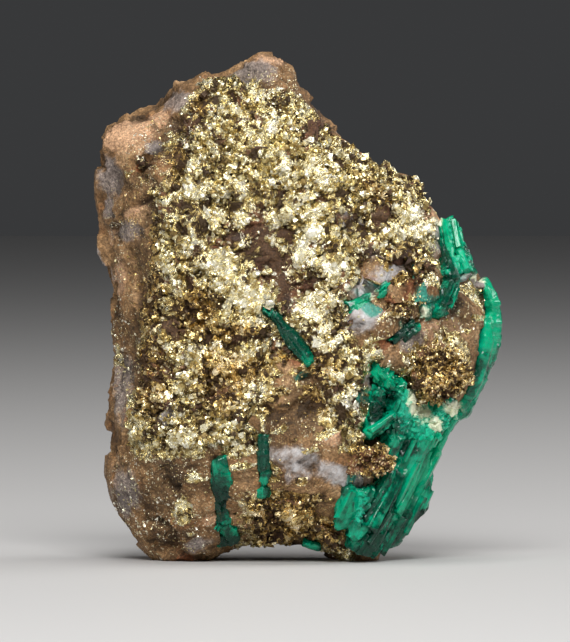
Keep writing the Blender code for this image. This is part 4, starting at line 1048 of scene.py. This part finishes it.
# Clear single columns lie on the mass and on the rock beside it, half grown into them. They run
# down to the left, side by side, and small crystals crowd the milky top.

COLUMN_SEED = 5
COLUMN_SIDES = 6
COLUMN_TAPER = (0.8, 1.0)       # top radius against the foot's
COLUMN_UNEVEN = (0.78, 1.12)    # how far each corner stands out, against the half-width
COLUMN_SLANT = 0.5              # slope of the ends
TONE_SPREAD = 0.5               # how much darker or lighter a column may be
PATTERN_SPREAD = 40.0           # each column takes its streaks from another place
COLUMN_SAMPLES = 7              # places along a column where the ground under it is sought
IN_FRONT = -50.0                # the ground is looked for from this far in front
DEEPEST = 4.0                   # ground further back than this doesn't carry a column
STEEPEST = 2.0                  # how far back a column may lean over its length
COLUMN_BEVEL = 0.05
# Columns: upper end x and z, lower end x and z, half-width, how far the middle is sunk
COLUMNS = [
    (16.8, 13.4, 12.6, 5.4, 0.75, 0.05), (15.5, 13.0, 11.7, 5.5, 0.85, -0.15),
    (14.1, 11.9, 11.6, 6.9, 0.60, 0.05), (17.5, 14.8, 14.6, 8.8, 0.60, 0.15),
    (11.9, 10.4, 8.6, 4.4, 1.15, 0.25), (10.9, 10.3, 7.9, 5.0, 0.85, 0.25),
    (10.9, 6.0, 8.3, 2.4, 0.42, -0.20), (12.3, 5.4, 9.8, 1.2, 0.85, 0.20),
    (10.7, 3.4, 8.6, 0.9, 0.75, 0.15), (8.6, 3.6, 7.2, 1.3, 0.55, 0.15),
    (14.9, 7.8, 12.7, 3.8, 0.80, 0.20), (15.8, 8.6, 14.7, 6.0, 0.60, 0.20),
    (13.6, 6.2, 11.6, 2.8, 0.65, 0.20), (11.3, 17.7, 8.5, 15.8, 0.58, -0.05),
    (12.0, 16.8, 9.7, 14.6, 0.42, 0.0), (12.8, 17.0, 11.0, 14.9, 0.36, 0.0),
    (10.7, 19.9, 8.9, 17.9, 0.48, 0.05), (9.9, 20.9, 9.2, 18.3, 0.42, 0.0),
    (8.3, 23.0, 9.6, 21.6, 0.50, 0.1), (9.7, 22.9, 11.0, 21.4, 0.46, 0.1),
    (11.6, 22.8, 12.6, 21.4, 0.40, 0.1), (13.0, 20.8, 12.0, 17.6, 0.55, 0.1),
    (12.4, 20.4, 11.2, 17.8, 0.45, 0.1), (18.9, 17.4, 16.9, 14.2, 0.55, 0.1),
    (17.7, 16.9, 15.9, 13.8, 0.50, 0.1), (6.4, 9.0, 4.8, 5.6, 0.75, 0.1), (7.9, 8.6, 7.2, 4.6, 0.50, 0.1),
    (12.9, 14.2, 11.6, 11.4, 0.45, 0.15), (13.9, 14.6, 12.7, 12.2, 0.40, 0.15),
    (18.6, 40.6, 19.2, 37.4, 0.55, 0.1), (17.4, 40.8, 18.2, 36.4, 0.55, 0.15),
    (19.2, 37.6, 20.2, 34.8, 0.60, 0.1), (17.9, 37.0, 18.8, 33.6, 0.60, 0.15),
    (20.4, 35.2, 19.0, 32.6, 0.45, 0.1), (18.4, 33.4, 17.2, 30.8, 0.50, 0.1),
    (19.0, 32.8, 18.0, 30.6, 0.40, 0.1),
]


def add_column(shape, start, end, half_width, picks):
    """A slightly uneven six-sided column with slanted ends, added to a mesh in the making."""
    along = end - start
    turn = along.to_track_quat("Z", "Y").to_matrix()
    made = bmesh.ops.create_cone(shape, cap_ends=True, segments=COLUMN_SIDES, radius1=1.0,
                                 radius2=picks.uniform(*COLUMN_TAPER), depth=1.0)["verts"]
    uneven = [picks.uniform(*COLUMN_UNEVEN) for _ in range(COLUMN_SIDES)]
    grown = shape.verts.layers.float_vector["grown"]
    shade = shape.verts.layers.float["tone"]
    offset = picks.uniform(0.0, PATTERN_SPREAD)
    tone = picks.uniform(-TONE_SPREAD, TONE_SPREAD)
    for number, corner in enumerate(made):
        reach = uneven[number // 2 % COLUMN_SIDES] * half_width
        slant = picks.uniform(-COLUMN_SLANT, COLUMN_SLANT) * half_width
        local = Vector((corner.co.x * reach, corner.co.y * reach,
                        corner.co.z * along.length + slant))
        corner.co = (start + end) / 2 + turn @ local
        corner[grown] = local / MM + Vector((offset, 0.0, 0.0))
        corner[shade] = tone


def columns_mesh():
    """All the columns in one mesh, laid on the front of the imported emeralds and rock."""
    ground = packed_copy("ground", ["emerald_cluster", "emerald_upper", "emerald_pocket_lens", "matrix"])
    shape = bmesh.new()
    shape.verts.layers.float_vector.new("grown")
    shape.verts.layers.float.new("tone")
    picks = random.Random(COLUMN_SEED)
    for top_x, top_z, foot_x, foot_z, half_width, sink in COLUMNS:
        samples = []
        for share in np.linspace(0.1, 0.9, COLUMN_SAMPLES):
            x = top_x + (foot_x - top_x) * share
            z = top_z + (foot_z - top_z) * share
            hit, spot, _, _ = ground.ray_cast(Vector((x, IN_FRONT, z)) * MM, Vector((0.0, 1.0, 0.0)))
            if hit and spot.y < DEEPEST * MM:
                samples.append((share, spot.y / MM))
        if len(samples) > COLUMN_SAMPLES // 2:
            shares, depths = np.array(samples).T
            slope = max(-STEEPEST, min(STEEPEST, np.polyfit(shares, depths, 1)[0]))
            level = float(np.mean(depths)) - slope * 0.5
            top = Vector((top_x, level + sink, top_z)) * MM
            foot = Vector((foot_x, level + slope + sink, foot_z)) * MM
            add_column(shape, foot, top, half_width * MM, picks)
    bmesh.ops.bevel(shape, geom=shape.edges[:], offset=COLUMN_BEVEL * MM, segments=1,
                    affect="EDGES")
    bmesh.ops.recalc_face_normals(shape, faces=shape.faces[:])
    bpy.data.objects.remove(ground)
    return finished_mesh("emerald_columns", shape)


column_mesh = columns_mesh()
mark_emerald(column_mesh)
column_mesh.materials.append(emerald_material)
emerald_columns = new_object("emerald_columns", column_mesh)
keep_in_box(emerald_columns)
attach(emerald_columns, "root")

emerald_shapes = crystal_shapes("emerald_shapes", (6,), 1.0, 2.2)
grow_crystals("small_emeralds", emerald_mass, {
    "Crystals": emerald_shapes, "Finish": emerald_material, "Per square mm": 4.5, "Least": 0.25,
    "Lean": 1.0, "Wild": 0.8, "Seed": 31})


# The studio: a pale floor, broad soft lights, and a camera just above the specimen's middle,
# square to its pyrite face.

FRAME_WIDTH = 570
FRAME_HEIGHT = 642
PIXEL = 0.12                    # millimetres in a pixel of the frame at the specimen
SUBJECT_MIDDLE = 298            # column of the frame on which x = 0 lies
GROUND_ROW = 559.5              # row of the frame on which the specimen stands
CAMERA_DISTANCE = 1200.0
CAMERA_ELEVATION = 1.6          # degrees above the horizon
LIT_HEIGHT = 30.0               # the lights face this height on the specimen's axis
SENSOR_HEIGHT = 24.0
FLOOR_SIZE = 4.0                # metres

floor_shape = bmesh.new()
bmesh.ops.create_grid(floor_shape, x_segments=1, y_segments=1, size=FLOOR_SIZE / 2)
floor_mesh = finished_mesh("floor", floor_shape)
floor = new_object("floor", floor_mesh)
floor_material, floor_start = new_material("pale_floor")
floor_start.node("ShaderNodeOutputMaterial", {}, {"Surface": floor_start.node(
    "ShaderNodeBsdfPrincipled", {}, {"Base Color": (0.52, 0.51, 0.50, 1.0), "Roughness": 0.6})})
floor_mesh.materials.append(floor_material)

camera_data = bpy.data.cameras.new("camera")
camera_data.sensor_fit = "VERTICAL"
camera_data.sensor_height = SENSOR_HEIGHT
camera_data.lens = SENSOR_HEIGHT * CAMERA_DISTANCE / (FRAME_HEIGHT * PIXEL)
camera_data.clip_start = 0.01
camera = new_object("camera", camera_data)
aim = Vector(((FRAME_WIDTH / 2 - SUBJECT_MIDDLE) * PIXEL, 0.0,
              (GROUND_ROW - FRAME_HEIGHT / 2) * PIXEL)) * MM
tilt = math.radians(CAMERA_ELEVATION)
back = Vector((0.0, -math.cos(tilt), math.sin(tilt)))
camera.location = aim + back * CAMERA_DISTANCE * MM
camera.rotation_euler = (-back).to_track_quat("-Z", "Y").to_euler()
bpy.context.scene.camera = camera


def soft_light(name, direction, distance, size, power):
    """A square soft light that faces the specimen: distance and size in metres, power in watts."""
    lamp = bpy.data.lights.new(name, "AREA")
    lamp.shape = "SQUARE"
    lamp.size = size
    lamp.energy = power
    holder = new_object(name, lamp)
    towards = Vector(direction).normalized()
    holder.location = Vector((0.0, 0.0, LIT_HEIGHT)) * MM + towards * distance
    holder.rotation_euler = (-towards).to_track_quat("-Z", "Y").to_euler()


soft_light("key", (0.02, -0.78, 0.62), 0.9, 0.45, 9.0)
soft_light("fill", (-0.80, -0.60, 0.35), 1.0, 0.6, 1.4)
soft_light("top", (0.1, -0.05, 1.0), 0.9, 0.5, 4.0)
soft_light("rim", (0.9, 0.30, 0.45), 0.9, 0.4, 3.0)
world = bpy.data.worlds.new("studio")
world.use_nodes = True
world.node_tree.nodes.clear()
air = Flow(world.node_tree)
air.node("ShaderNodeOutputWorld", {}, {"Surface": air.node(
    "ShaderNodeBackground", {}, {"Color": (0.80, 0.82, 0.85, 1.0), "Strength": 0.05})})
bpy.context.scene.world = world
bpy.context.scene.view_settings.view_transform = "Standard"
